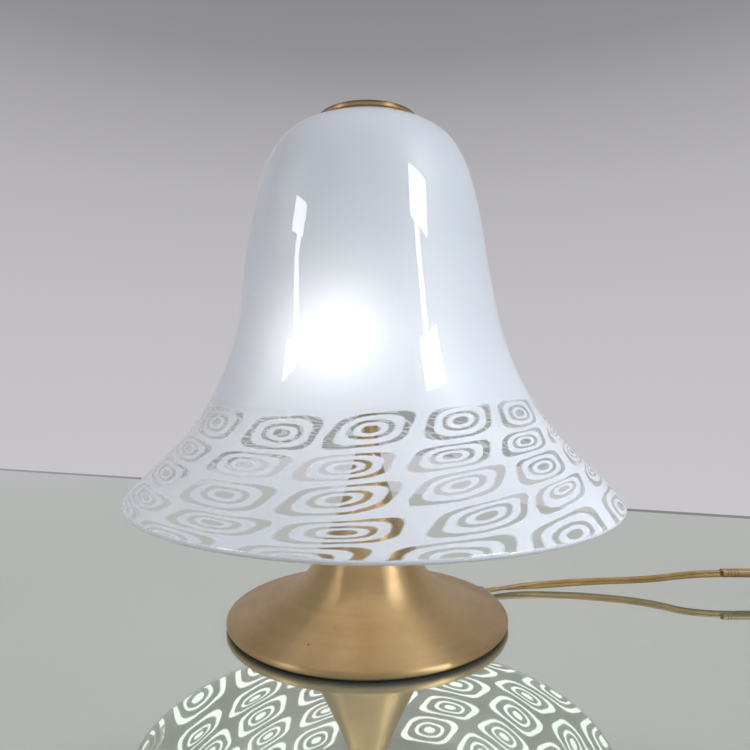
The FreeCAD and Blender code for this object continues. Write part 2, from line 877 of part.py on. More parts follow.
def make_switch_upper():
    shell, entry = switch_half(switch_axis_height, switch_height, switch_height, switch_top_rounding,
                               switch_axis_height, switch_height - switch_wall)
    shell = shell.cut(entry)
    half_length, half_width = rocker_length / 2 + rocker_play, rocker_width / 2 + rocker_play
    window_z = switch_height - 2 * switch_wall
    window = box(-half_length, half_length, -half_width, half_width, window_z, switch_height + 1)
    pivot_z = rocker_pivot_height()
    cheek_low = pivot_z - pivot_radius - 2
    for sign in (-1, 1):
        inner = sign * half_width
        outer = sign * (half_width + pivot_length + 0.6)
        cheek = box(-4, 4, min(inner, outer), max(inner, outer), cheek_low, switch_height - switch_wall)
        shell = shell.fuse(cheek)
        bearing = Part.makeCylinder(pivot_radius + pivot_play, pivot_length + 0.3,
                                    V(0, inner, pivot_z), V(0, sign, 0))
        shell = shell.cut(bearing)
    shell = shell.cut(window)
    for place in switch_screw_places():
        shell = shell.cut(Part.makeCylinder(switch_screw_radius, 9, place + V(0, 0, switch_axis_height)))
    return at_switch(shell)


def make_switch_rocker():
    """Rocker with a hollowed top face and two pivot studs, pressed down at its left end."""
    half_length, half_width = rocker_length / 2 - 0.4, rocker_width / 2
    pivot_z = rocker_pivot_height()
    top = switch_height + rocker_proud
    low = top - rocker_depth
    edges = [
        line(V(-half_length, 0, top - 1), V(-half_length + 2.5, 0, low)),
        line(V(-half_length + 2.5, 0, low), V(half_length - 2.5, 0, low)),
        line(V(half_length - 2.5, 0, low), V(half_length, 0, top - 1)),
        arc(V(half_length, 0, top - 1), V(half_length - 0.3, 0, top - 0.3), V(half_length - 1, 0, top)),
        arc(V(half_length - 1, 0, top), V(0, 0, top - 1.2), V(1 - half_length, 0, top)),
        arc(V(1 - half_length, 0, top), V(0.3 - half_length, 0, top - 0.3), V(-half_length, 0, top - 1)),
    ]
    block = Part.Face(Part.Wire(Part.sortEdges(edges)[0])).extrude(V(0, rocker_width, 0))
    block.translate(V(0, -half_width, 0))
    for sign in (-1, 1):
        stud = Part.makeCylinder(pivot_radius, pivot_length + 1,
                                 V(0, sign * (half_width - 1), pivot_z), V(0, sign, 0))
        block = block.fuse(stud)
    block.rotate(V(0, 0, pivot_z), V(0, 1, 0), -rocker_tilt)
    return at_switch(block)


def make_switch_contacts():
    """Two brass terminal strips on the floor of the switch."""
    strips = []
    for y in (-9.0, 9.0):
        foot = box(-18, 18, y - 2, y + 2, switch_wall, switch_wall + 1)
        post = box(-3, 3, y - 2, y + 2, switch_wall + 1, switch_wall + 9)
        strips.append(at_switch(foot.fuse(post).removeSplitter()))
    return Part.makeCompound(strips)


def make_switch_screws():
    screws = []
    for place in switch_screw_places():
        head = Part.makeCylinder(switch_screw_head, switch_screw_head_height, place + V(0, 0, 0.5))
        shank_start = place + V(0, 0, 0.5 + switch_screw_head_height)
        shank = Part.makeCylinder(switch_screw_radius, switch_screw_length, shank_start)
        screws.append(at_switch(head.fuse(shank)))
    return Part.makeCompound(screws)


def boot(length, ribs):
    """Slim sleeve on the cord that swells into the switch, turned about +Z at first."""
    bore = cord_radius + cord_play
    swell = length - boot_swell_length
    outline = [(bore, 0), (boot_radius - 0.3, 0), (boot_radius, 0.6)]
    if ribs:
        for i in range(rib_count):
            z = rib_start + i * rib_pitch
            outline += [(boot_radius, z), (boot_radius - rib_depth, z + 0.3),
                        (boot_radius - rib_depth, z + 0.9), (boot_radius, z + 1.2)]
    neck = boot_flange_radius - 1.6
    flange_z = length + switch_wall
    end_z = length + boot_inside
    outline += [(boot_radius, swell), (neck, length), (neck, flange_z), (boot_flange_radius, flange_z),
                (boot_flange_radius, end_z), (bore, end_z)]
    return turned_polygon(outline)


def make_switch_boot_in():
    shape = boot(boot_length, True)
    shape.rotate(V(0, 0, 0), V(0, 1, 0), 90)
    return moved(shape, switch_x - boot_length, switch_y, switch_axis_height)


def make_switch_boot_out():
    shape = boot(short_boot_length, False)
    shape.rotate(V(0, 0, 0), V(0, 1, 0), -90)
    return moved(shape, switch_x + switch_length + short_boot_length, switch_y, switch_axis_height)


# Put-away coil

def coil_state(quarter):
    """Radius and height of the cord's middle after so many quarter turns."""
    step = coil_pitch / 4
    if quarter <= coil_in_quarters:
        return coil_outer_radius - step * quarter, coil_low
    climbed = quarter - coil_in_quarters
    if climbed < coil_climb_quarters:
        return coil_climb_radius, coil_low + coil_pitch * climbed / coil_climb_quarters
    return coil_inner_radius + step * (climbed - coil_climb_quarters), coil_high


def coil_point(quarter):
    radius, height = coil_state(quarter)
    angle = -quarter * math.pi / 2
    return coil_middle + V(radius * math.cos(angle), radius * math.sin(angle), height)


def coil_heading(quarter):
    """Level, but in the middle of the climb to the upper layer."""
    angle = -quarter * math.pi / 2
    climbing = coil_in_quarters < quarter < coil_in_quarters + coil_climb_quarters
    rise = coil_pitch / coil_climb_radius / 2 if climbing else 0
    return V(math.sin(angle), -math.cos(angle), rise).normalize()


def two_arcs(a, from_a, b, to_b):
    """Two arcs that leave a and reach b along the given headings and meet tangent."""
    span = b - a
    both = from_a + to_b
    rest = 2 * (1 - from_a.dot(to_b))
    reach = (-span.dot(both) + math.sqrt(span.dot(both) ** 2 + rest * span.dot(span))) / rest
    first, second = a + from_a * reach, b - to_b * reach
    joint = (first + second) * 0.5
    arcs = []
    for start, corner, end in ((a, first, joint), (joint, second, b)):
        chord = (start + end) * 0.5
        cosine = (end - start).Length / 2 / (corner - start).Length
        middle = chord + (corner - chord) * (cosine / (1 + cosine))
        arcs.append(arc(start, middle, end))
    return arcs


def coil_gap(edges):
    """Least gap of the tube to itself, on points about 2 mm apart."""
    points, travelled = [], 0.0
    for edge in edges:
        count = max(2, int(edge.Length / 2))
        for i in range(count):
            spot = edge.FirstParameter + (edge.LastParameter - edge.FirstParameter) * i / count
            points.append((travelled + edge.Length * i / count, edge.valueAt(spot)))
        travelled += edge.Length
    least = 1e9
    for i, (along, point) in enumerate(points):
        for other_along, other in points[i + 1:]:
            if other_along - along > 6 * cord_diameter:
                least = min(least, (other - point).Length)
    return least - cord_diameter


def make_cord_coil():
    quarters = coil_in_quarters + coil_climb_quarters + coil_out_quarters
    start, end = coil_point(0), coil_point(quarters)
    edges = [line(start - coil_heading(0) * cord_diameter, start)]
    for q in range(quarters):
        edges += two_arcs(coil_point(q), coil_heading(q), coil_point(q + 1), coil_heading(q + 1))
    edges.append(line(end, end + coil_heading(quarters) * cord_diameter))
    solid, length, share = swept(edges, cord_radius)
    print("cord_coil length", round(length, 1), "turns", quarters / 4,
          "least gap to itself", round(coil_gap(edges), 2), "volume share", round(share, 4))
    return solid


def make_coil_tie():
    """Flat band closed round the bundle of turns."""
    outer_turn = coil_state(tie_quarter)[0] + cord_radius + tie_play
    inner_turn = coil_state(tie_quarter + 4 * (coil_in_quarters // 4))[0] - cord_radius - tie_play
    low = coil_low - cord_radius - 0.2
    high = coil_high + cord_radius + tie_play
    half = tie_width / 2
    band = box(inner_turn - tie_thickness, outer_turn + tie_thickness, -half, half,
               low - tie_thickness, high + tie_thickness)
    sides = [e for e in band.Edges if e.BoundBox.YLength > tie_width - 0.1]
    band = band.makeFillet(1.6, sides)
    band = band.cut(box(inner_turn, outer_turn, -half, half, low, high))
    return moved(spun(band, -90 * tie_quarter), coil_x, coil_y)


# Plug

def plug_section(x, width, height, corner):
    """Rounded rectangle across the plug's axis."""
    y, z = width / 2, height / 2
    spots = [V(x, plug_y - y, plug_axis_height - z), V(x, plug_y + y, plug_axis_height - z),
             V(x, plug_y + y, plug_axis_height + z), V(x, plug_y - y, plug_axis_height + z)]
    edges = []
    for i, spot in enumerate(spots):
        before = (spots[i - 1] - spot).normalize() * corner
        after = (spots[(i + 1) % 4] - spot).normalize() * corner
        middle = spot + (before + after) * (1 - math.sqrt(0.5))
        edges.append(arc(spot + before, middle, spot + after))
        next_spot = spots[(i + 1) % 4]
        edges.append(line(spot + after, next_spot - (next_spot - spot).normalize() * corner))
    return Part.Wire(edges)


def make_plug_body():
    face_x = plug_x - plug_length
    body = Part.makeLoft([
        plug_section(face_x, plug_width, plug_height, plug_corner),
        plug_section(face_x + plug_length * 0.45, plug_width, plug_height, plug_corner),
        plug_section(plug_x, plug_tail_width, plug_tail_height, plug_corner),
    ], True, True)
    socket = Part.makeCylinder(cord_radius + cord_play, plug_socket,
                               V(plug_x, plug_y, plug_axis_height), V(-1, 0, 0))
    body = body.cut(socket)
    for sign in (-1, 1):
        hole = Part.makeCylinder(pin_sleeve_radius, pin_rooted,
                                 V(face_x, plug_y + sign * pin_spacing / 2, plug_axis_height), V(1, 0, 0))
        body = body.cut(hole)
    return body


def make_plug_pins():
    pins = []
    for sign in (-1, 1):
        shaft = turned_polygon([
            (0, -pin_rooted),
            (pin_core_radius, -pin_rooted),
            (pin_core_radius, pin_sleeve_length),
            (pin_radius, pin_sleeve_length),
            (pin_radius, pin_length - pin_radius),
            (pin_radius * 0.8, pin_length - pin_radius * 0.4),
            (pin_radius * 0.4, pin_length),
            (0, pin_length),
        ])
        shaft.rotate(V(0, 0, 0), V(0, 1, 0), -90)
        pins.append(moved(shaft, plug_x - plug_length, plug_y + sign * pin_spacing / 2, plug_axis_height))
    return Part.makeCompound(pins)


def make_plug_sleeves():
    sleeves = []
    for sign in (-1, 1):
        sleeve = tube(pin_sleeve_radius, pin_core_radius, -pin_rooted, pin_sleeve_length)
        sleeve.rotate(V(0, 0, 0), V(0, 1, 0), -90)
        sleeves.append(moved(sleeve, plug_x - plug_length, plug_y + sign * pin_spacing / 2, plug_axis_height))
    return Part.makeCompound(sleeves)


def make_plug_boot():
    bore = cord_radius + cord_play
    end = cord_radius + 0.9
    shape = turned_polygon([
        (bore, 0), (plug_boot_radius, 0), (plug_boot_radius - 0.2, 2),
        (end + 0.4, plug_boot_length - 3), (end, plug_boot_length), (bore, plug_boot_length),
    ])
    shape.rotate(V(0, 0, 0), V(0, 1, 0), 90)
    return moved(shape, plug_x, plug_y, plug_axis_height)


def build_nodes():
    clear, opal = shade_layers()
    return {
        "base_shell": make_base_shell(),
        "felt_pad": make_felt_pad(),
        "base_plate": make_base_plate(),
        "ballast": make_ballast(),
        "tie_rod": make_tie_rod(),
        "bottom_nut": hex_nut(bottom_nut_z),
        "bottom_washer": tube(washer_radius, rod_hole, bottom_washer_z, ballast_ceiling),
        "column_ring": make_column_ring(),
        "lamp_bracket": make_lamp_bracket(),
        "bracket_nut": hex_nut(arm_nut_z),
        "holder_screw": make_holder_screw(),
        "holder_cup": make_holder_cup(),
        "holder_shell": make_holder_shell(),
        "holder_insert": make_holder_insert(),
        "holder_thread": make_holder_thread(),
        "holder_contact": make_holder_contact(),
        "bulb_contact": make_bulb_contact(),
        "bulb_cap": make_bulb_cap(),
        "bulb_glass": make_bulb_glass(),
        "sleeve_nut": hex_nut(sleeve_nut_z),
        "upper_sleeve": tube(sleeve_radius, rod_hole, sleeve_z, seat_z),
        "shade_seat": make_shade_seat(),
        "seat_gasket": tube(land_radius - gasket_inset, cap_boss_radius + 1, seat_gasket_z, inner_land),
        "shade_glass": clear,
        "shade_opal": opal,
        "cap_gasket": tube(land_radius - gasket_inset, shade_hole_radius, shade_land_height, cap_z),
        "shade_cap": make_shade_cap(),
        "cord_grommet": make_cord_grommet(),
        "cord_clamp": make_cord_clamp(),
        "clamp_screws": make_clamp_screws(),
        "cord_inner": make_cord_inner(),
        "cord_lead": free_cord("cord_lead", lead_route),
        "switch_boot_in": make_switch_boot_in(),
        "switch_lower": make_switch_lower(),
        "switch_upper": make_switch_upper(),
        "switch_rocker": make_switch_rocker(),
        "switch_contacts": make_switch_contacts(),
        "switch_screws": make_switch_screws(),
        "switch_boot_out": make_switch_boot_out(),
        "cord_link": free_cord("cord_link", link_route),
        "cord_coil": make_cord_coil(),
        "cord_tail": free_cord("cord_tail", tail_route),
        "coil_tie": make_coil_tie(),
        "plug_boot": make_plug_boot(),
        "plug_body": make_plug_body(),
        "plug_pins": make_plug_pins(),
        "plug_sleeves": make_plug_sleeves(),
    }


os.makedirs("parts", exist_ok=True)
for node, solid in build_nodes().items():
    solid.exportStep("parts/" + node + ".step")
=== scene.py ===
import json
import math
from functools import partial

import bpy
import numpy as np
from bpy.props import FloatProperty, FloatVectorProperty, IntProperty, PointerProperty
from mathutils import Matrix, Vector, noise

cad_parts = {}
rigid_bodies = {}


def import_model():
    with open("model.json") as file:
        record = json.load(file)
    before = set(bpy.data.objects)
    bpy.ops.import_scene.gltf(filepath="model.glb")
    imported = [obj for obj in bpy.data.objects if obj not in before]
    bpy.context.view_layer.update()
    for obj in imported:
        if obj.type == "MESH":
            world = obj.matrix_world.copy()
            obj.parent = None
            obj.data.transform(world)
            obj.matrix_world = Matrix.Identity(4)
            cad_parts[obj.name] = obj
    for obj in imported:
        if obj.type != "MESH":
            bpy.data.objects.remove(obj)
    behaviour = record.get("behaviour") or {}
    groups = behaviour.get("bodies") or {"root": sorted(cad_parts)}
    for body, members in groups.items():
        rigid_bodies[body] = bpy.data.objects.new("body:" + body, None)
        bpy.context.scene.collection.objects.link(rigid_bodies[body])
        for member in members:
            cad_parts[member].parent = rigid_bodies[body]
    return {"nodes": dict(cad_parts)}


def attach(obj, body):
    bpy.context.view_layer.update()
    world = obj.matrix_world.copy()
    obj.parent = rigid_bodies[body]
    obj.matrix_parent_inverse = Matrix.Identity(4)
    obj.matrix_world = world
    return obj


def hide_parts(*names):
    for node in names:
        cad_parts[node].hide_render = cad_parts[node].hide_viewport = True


bl_info = {
    "name": "Bell Table Lamp",
    "version": (1, 0, 0),
    "blender": (4, 5, 0),
    "location": "View3D > Sidebar > Lamp",
    "description": "Dresses a glass bell table lamp: blown shade, brass foot, flex, switch and plug",
    "category": "Object",
}

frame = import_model()
for leftover in ("Cube", "Light", "Camera"):
    if leftover in bpy.data.objects:
        bpy.data.objects.remove(bpy.data.objects[leftover], do_unlink=True)
bpy.context.view_layer.update()

# Outer face of the bell, from the hole's land to the mouth: radius and height in metres.
BELL = (
    (0.0270, 0.3384), (0.0515, 0.3300), (0.0665, 0.3108), (0.0755, 0.2820), (0.0828, 0.2400),
    (0.0901, 0.1950), (0.1081, 0.1500), (0.1285, 0.1220), (0.1477, 0.1030), (0.1615, 0.0886),
)
# How far the hand-blown bell leans to one side: height and lean.
LEAN = (
    (0.088, 0.0045), (0.110, 0.0040), (0.140, 0.0034), (0.170, 0.0022), (0.205, 0.0012), (0.225, 0.0),
    (0.240, -0.0009), (0.300, -0.0009), (0.330, -0.0005), (0.3384, 0.0),
)
# Routes of the flex.
LEAD_ROUTE = (
    (0.08610, 0.04015, 0.0029), (0.10060, 0.04691, 0.0029), (0.134, 0.0525, 0.0036), (0.176, 0.0538, 0.0060),
    (0.216, 0.0486, 0.0088), (0.251, 0.0426, 0.0160), (0.305, 0.0426, 0.0160),
)
LINK_ROUTE = (
    (0.383, 0.0426, 0.0160), (0.418, 0.0426, 0.0160), (0.436, 0.025, 0.0116), (0.436, -0.0055, 0.0037),
    (0.436, -0.071, 0.0037),
)
TAIL_ROUTE = (
    (0.3896, -0.1154, 0.0097), (0.378, -0.1154, 0.0097), (0.360, -0.1154, 0.0070), (0.325, -0.1154, 0.0070),
)
INNER_ROUTE = (
    (0.08610, 0.04015, 0.0029), (0.07251, 0.03381, 0.0029), (0.05619, 0.02620, 0.0069), (0.0, 0.0, 0.0069),
    (0.0, 0.0, 0.0166), (0.0, 0.0, 0.1495), (0.0, 0.0, 0.1570), (-0.00225, -0.01518, 0.1570),
)
COIL_MIDDLE = (0.395, -0.0764)
COIL_LOW, COIL_HIGH = 0.0037, 0.0097
# Control points of a coil lie this much outside the line that they draw.
COIL_OUTSIDE = 1.012
# The lit bulb, and the bright patch that it throws on the front of the glass
BULB_SPOT = (-0.0040, -0.0270, 0.1860)
PATCH_SPOT = (-0.0170, -0.0800, 0.1870)
# How the bell's mouth hangs askew: lift at the axis and per metre of x and y, in full at the low height.
ASKEW, ASKEW_X, ASKEW_Y = 0.0012, -0.0056, 0.013
ASKEW_LOW, ASKEW_HIGH = 0.090, 0.205
# Shallow ring pressed into the crown beside the cap
DENT, DENT_START, DENT_END = 0.0017, 0.028, 0.062
# How far below the wall's face the white layer starts and ends at the lip
LIP_DEPTH, LIP_INNER_DEPTH = 0.0006, 0.00072
# Borders between the rows of cane slices, as height on the upright bell and row.
ROW_BORDERS = (
    (0.0735, 6.0), (0.0830, 5.0), (0.0915, 4.0), (0.1000, 3.0), (0.1132, 2.0), (0.1266, 1.0), (0.1463, 0.0),
    (0.1680, -1.0),
)
# How far round each row starts from the one above, in slices, and how far the rows climb, in metres
ROW_START, ROW_STEPS, ROW_CLIMB = 0.473, (0.240, 0.020, -0.027, 0.291), 0.0055


class LampShadeSettings(bpy.types.PropertyGroup):
    wall: FloatProperty(
        name="Wall", description="Thickness of the blown glass", default=0.004, min=0.001, unit="LENGTH")
    white_depth: FloatProperty(
        name="White depth", description="Clear glass over the white layer", default=0.0026, min=0.0003,
        unit="LENGTH")
    white_thickness: FloatProperty(
        name="White thickness", description="Thickness of the white layer", default=0.00125, unit="LENGTH")
    hole_radius: FloatProperty(
        name="Hole radius", description="Hole under the cap", default=0.011, unit="LENGTH")
    segments: IntProperty(
        name="Segments", description="Steps of the spun bell round its axis", default=180, min=24)
    tiles: IntProperty(
        name="Tiles", description="Cane slices round each row of the skirt", default=14, min=3)
    wobble: FloatProperty(
        name="Wobble", description="Faint ripples of the hand-blown wall", default=0.0002, unit="LENGTH")
    white_colour: FloatVectorProperty(
        name="White glass", description="Colour of the opal glass", subtype="COLOR", size=3,
        default=(0.785, 0.81, 0.865))
    glow: FloatProperty(
        name="Glow", description="Strength of the lit bulb's patch in the opal glass", default=0.62, min=0.0)


class LampMetalSettings(bpy.types.PropertyGroup):
    brass_colour: FloatVectorProperty(
        name="Brass", description="Satin lacquered brass of foot and cap", subtype="COLOR", size=3,
        default=(0.60, 0.425, 0.215))
    brass_dark: FloatVectorProperty(
        name="Tarnish", description="Brown tone where the lacquer has aged", subtype="COLOR", size=3,
        default=(0.42, 0.27, 0.135))
    groove_pitch: FloatProperty(
        name="Brush pitch", description="Distance of the fine turned lines", default=0.00035, unit="LENGTH")
    roughness: FloatProperty(
        name="Satin", description="Roughness of the brushed brass", default=0.45, min=0.0, max=1.0)


class LampFlexSettings(bpy.types.PropertyGroup):
    width: FloatProperty(
        name="Width", description="Flat flex, across both cores", default=0.0054, unit="LENGTH")
    core: FloatProperty(
        name="Core", description="Diameter of one insulated core", default=0.0029, unit="LENGTH")
    colour: FloatVectorProperty(
        name="Flex colour", description="Amber translucent insulation", subtype="COLOR", size=3,
        default=(0.50, 0.30, 0.085))


class LampStageSettings(bpy.types.PropertyGroup):
    table_colour: FloatVectorProperty(
        name="Table", description="Pale top that the lamp stands on", subtype="COLOR", size=3,
        default=(0.805, 0.862, 0.765))
    fill: FloatProperty(
        name="Fill", description="Light of the room on all sides", default=0.36, min=0.0)
    key: FloatProperty(
        name="Soft boxes", description="Strength of the two soft boxes", default=1.0, min=0.0)


# Helpers for meshes

def start_clean():
    """Object mode, nothing selected."""
    if bpy.context.object and bpy.context.object.mode != "OBJECT":
        bpy.ops.object.mode_set(mode="OBJECT")
    bpy.ops.object.select_all(action="DESELECT")


def choose(piece):
    """The piece alone is selected and active."""
    start_clean()
    piece.select_set(True)
    bpy.context.view_layer.objects.active = piece


def turn_faces_outwards():
    """For the piece in edit mode, which ends in object mode."""
    bpy.ops.mesh.select_all(action="SELECT")
    bpy.ops.mesh.normals_make_consistent(inside=False)
    bpy.ops.object.mode_set(mode="OBJECT")


def traced(name, outline):
    """A closed section drawn in the XZ plane by extruding one vertex along its points."""
    start_clean()
    first = outline[0]
    bpy.ops.mesh.primitive_plane_add(size=0.001, location=(first[0], 0, first[1]))
    piece = bpy.context.object
    piece.name = name
    choose(piece)
    bpy.ops.object.transform_apply(location=True, rotation=True, scale=True)
    bpy.ops.object.mode_set(mode="EDIT")
    bpy.ops.mesh.select_all(action="SELECT")
    bpy.ops.mesh.merge(type="CENTER")
    path = [*outline, first]
    for a, b in zip(path, path[1:]):
        bpy.ops.mesh.extrude_region_move(TRANSFORM_OT_translate={"value": (b[0] - a[0], 0, b[1] - a[1])})
    bpy.ops.mesh.select_all(action="SELECT")
    bpy.ops.mesh.remove_doubles(threshold=0.000001)
    return piece


def turned(name, outline, segments, angle):
    """A turned piece: the section spun about the lamp's axis, merged, faces outwards."""
    piece = traced(name, outline)
    bpy.ops.mesh.spin(steps=segments, angle=2 * math.pi, center=(0, 0, 0), axis=(0, 0, 1))
    bpy.ops.mesh.select_all(action="SELECT")
    bpy.ops.mesh.remove_doubles(threshold=0.000002)
    turn_faces_outwards()
    bpy.ops.object.shade_smooth_by_angle(angle=angle)
    return piece


def curve_through(points, count):
    """Smooth run through points, level at its start and free at its end."""
    p = np.array(points)
    t = np.concatenate(([0.0], np.cumsum(np.linalg.norm(np.diff(p, axis=0), axis=1))))
    n = len(t)
    h = np.diff(t)
    system = np.zeros((n, n))
    right = np.zeros((n, 2))
    system[0, 0], system[0, 1] = 2 * h[0], h[0]
    right[0] = 6 * ((p[1] - p[0]) / h[0] - np.array([1.0, 0.0]))
    system[-1, -1] = 1.0
    for i in range(1, n - 1):
        system[i, i - 1], system[i, i], system[i, i + 1] = h[i - 1], 2 * (h[i - 1] + h[i]), h[i]
        right[i] = 6 * ((p[i + 1] - p[i]) / h[i] - (p[i] - p[i - 1]) / h[i - 1])
    bend = np.linalg.solve(system, right)
    run = []
    for s in np.linspace(0, t[-1], count):
        i = min(max(int(np.searchsorted(t, s)) - 1, 0), n - 2)
        a, b = (t[i + 1] - s) / h[i], (s - t[i]) / h[i]
        run.append(a * p[i] + b * p[i + 1]
                   + ((a ** 3 - a) * bend[i] + (b ** 3 - b) * bend[i + 1]) * h[i] ** 2 / 6)
    return np.array(run)


def inset(run, depth):
    """The same run, a depth further in."""
    along = np.gradient(run, axis=0)
    along /= np.linalg.norm(along, axis=1)[:, None]
    side = np.stack([along[:, 1], -along[:, 0]], axis=1)
    side[0] = (0.0, -1.0)
    depths = np.broadcast_to(depth, len(run))[:, None]
    return run + side * depths


def lip(outer, inner, count):
    """Rounded edge from the end of the outer run to the end of the inner one."""
    middle = (outer[-1] + inner[-1]) / 2
    arm = outer[-1] - middle
    along = outer[-1] - outer[-2]
    along *= np.linalg.norm(arm) / np.linalg.norm(along)
    turns = [math.pi * i / (count + 1) for i in range(1, count + 1)]
    return [middle + arm * math.cos(t) + along * math.sin(t) for t in turns]


def hand_blown(piece, ripple):
    """The bell leans to one side, its mouth hangs a little askew, and its wall has faint ripples."""
    heights, leans = zip(*sorted(LEAN))
    for vertex in piece.data.vertices:
        x, y, z = vertex.co
        radius = math.hypot(x, y)
        low = min(max((ASKEW_HIGH - z) / (ASKEW_HIGH - ASKEW_LOW), 0.0), 1.0)
        up = low * low * (3 - 2 * low) * (ASKEW + ASKEW_Y * y + ASKEW_X * x)
        if z > 0.3 and DENT_START < radius < DENT_END:
            up -= DENT * math.sin(math.pi * (radius - DENT_START) / (DENT_END - DENT_START)) ** 2
        out = 0.0
        if radius > 0.03:
            wave = noise.noise(Vector((x / radius * 1.7, y / radius * 1.7, z * 14)))
            out = ripple * wave * min(1.0, (radius - 0.03) / 0.03) / radius
        vertex.co = (x + x * out + float(np.interp(z, heights, leans)), y + y * out, z + up)
    piece.data.update()


# Helpers for materials

def new_material(name):
    """A material and its empty node tree."""
    material = bpy.data.materials.new(name)
    material.use_nodes = True
    material.node_tree.nodes.clear()
    return material, material.node_tree


def add(tree, kind, settings=None, **inputs):
    """A shader node with its settings, and its inputs set or linked by name, or as i0, i1 by place."""
    node = tree.nodes.new("ShaderNode" + kind)
    for key, value in (settings or {}).items():
        setattr(node, key, value)
    for key, value in inputs.items():
        numbered = key[0] == "i" and key[1:].isdigit()
        socket = node.inputs[int(key[1:]) if numbered else key.replace("_", " ")]
        if isinstance(value, bpy.types.NodeSocket):
            tree.links.new(value, socket)
        else:
            socket.default_value = value
    return node


def do_math(tree, operation, a, b=None, clamp=False):
    values = {"i0": a} if b is None else {"i0": a, "i1": b}
    return add(tree, "Math", {"operation": operation, "use_clamp": clamp}, **values).outputs[0]


def sums(tree, *operations):
    """Short forms of these operations for one tree."""
    return [partial(do_math, tree, operation) for operation in operations]


def ramp(tree, value, low, high, out_low=0.0, out_high=1.0, smooth=True):
    """Value between low and high carried to between out_low and out_high."""
    node = add(tree, "MapRange", {"interpolation_type": "SMOOTHSTEP" if smooth else "LINEAR"},
               Value=value, From_Min=low, From_Max=high, To_Min=out_low, To_Max=out_high)
    return node.outputs["Result"]


def blend_colours(tree, factor, a, b):
    a, b = (value if isinstance(value, bpy.types.NodeSocket) else (*value, 1.0) for value in (a, b))
    return add(tree, "Mix", {"data_type": "RGBA"}, i0=factor, i6=a, i7=b).outputs[2]


def new_group(name, inputs, outputs):
    """Empty node group that takes a position and numbers with these defaults, and puts out numbers."""
    group = bpy.data.node_groups.new(name, "ShaderNodeTree")
    group.interface.new_socket("Position", in_out="INPUT", socket_type="NodeSocketVector")
    for label, default in inputs.items():
        socket = group.interface.new_socket(label, in_out="INPUT", socket_type="NodeSocketFloat")
        socket.default_value = default
    for label in outputs:
        group.interface.new_socket(label, in_out="OUTPUT", socket_type="NodeSocketFloat")
    return group, group.nodes.new("NodeGroupInput").outputs, group.nodes.new("NodeGroupOutput").inputs


def put_out(tree, result, *values):
    """Links the values to the group's outputs in turn, and gives back the group."""
    for value, socket in zip(values, result):
        tree.links.new(value, socket)
    return tree


def place_group(tree, group, **inputs):
    return add(tree, "Group", {"node_tree": group}, **inputs).outputs


def group_mottle():
    """Cloudy tone, fine grain and scattered specks, all from one position."""
    tree, given, result = new_group("Mottle", {"Scale": 40.0, "Grain": 900.0, "Specks": 0.0},
                                    ("Cloud", "Grain", "Speck"))
    cloud = add(tree, "TexNoise", Vector=given[0], Scale=given[1], Detail=4.0, Roughness=0.55)
    grain = add(tree, "TexNoise", Vector=given[0], Scale=given[2], Detail=2.0, Roughness=0.6)
    cell = add(tree, "TexVoronoi", {"feature": "F1"}, Vector=given[0], Scale=210.0)
    near = ramp(tree, cell.outputs["Distance"], 0.10, 0.20, 1.0, 0.0)
    luck = add(tree, "SeparateColor", Color=cell.outputs["Color"]).outputs[0]
    speck = do_math(tree, "MULTIPLY", near, do_math(tree, "LESS_THAN", luck, given[3]))
    return put_out(tree, result, ramp(tree, cloud.outputs["Fac"], 0.3, 0.7), grain.outputs["Fac"], speck)


def group_turned_lines():
    """Fine lines round the lamp's axis, as a brush or cutting tool leaves them."""
    tree, given, result = new_group("Turned lines", {"Pitch": 0.0004}, ("Line", "Band"))
    plus, minus, times = sums(tree, "ADD", "SUBTRACT", "MULTIPLY")
    x, y, z = add(tree, "SeparateXYZ", Vector=given[0]).outputs
    radius = do_math(tree, "SQRT", plus(times(x, x), times(y, y)))
    steps = do_math(tree, "DIVIDE", minus(radius, z), given[1])
    drift = times(do_math(tree, "ARCTAN2", y, x), 1.5)
    spot = add(tree, "CombineXYZ", X=steps, Y=drift).outputs[0]
    line = add(tree, "TexNoise", Vector=spot, Scale=1.0, Detail=3.0, Roughness=0.7)
    wide = add(tree, "VectorMath", {"operation": "MULTIPLY"}, i0=spot, i1=(0.045, 0.2, 1.0))
    band = add(tree, "TexNoise", Vector=wide.outputs[0], Scale=1.0, Detail=3.0)
    return put_out(tree, result, line.outputs["Fac"], band.outputs["Fac"])


def count_rows(tree, level):
    """How many rows of slices a height on the bell lies below the dome's edge."""
    low, high = 0.07, 0.17
    count = len(ROW_BORDERS) - 1
    rows = add(tree, "FloatCurve", Value=ramp(tree, level, low, high, smooth=False))
    curve = rows.mapping.curves[0]
    places = [((height - low) / (high - low), (row + 1) / count) for height, row in ROW_BORDERS]
    curve.points[0].location, curve.points[1].location = places[0], places[-1]
    for place in places[1:-1]:
        curve.points.new(*place)
    for point in curve.points:
        point.handle_type = "VECTOR"
    rows.mapping.extend = "EXTRAPOLATED"
    rows.mapping.update()
    minus, times = sums(tree, "SUBTRACT", "MULTIPLY")
    return minus(times(rows.outputs[0], float(count)), 1.0)


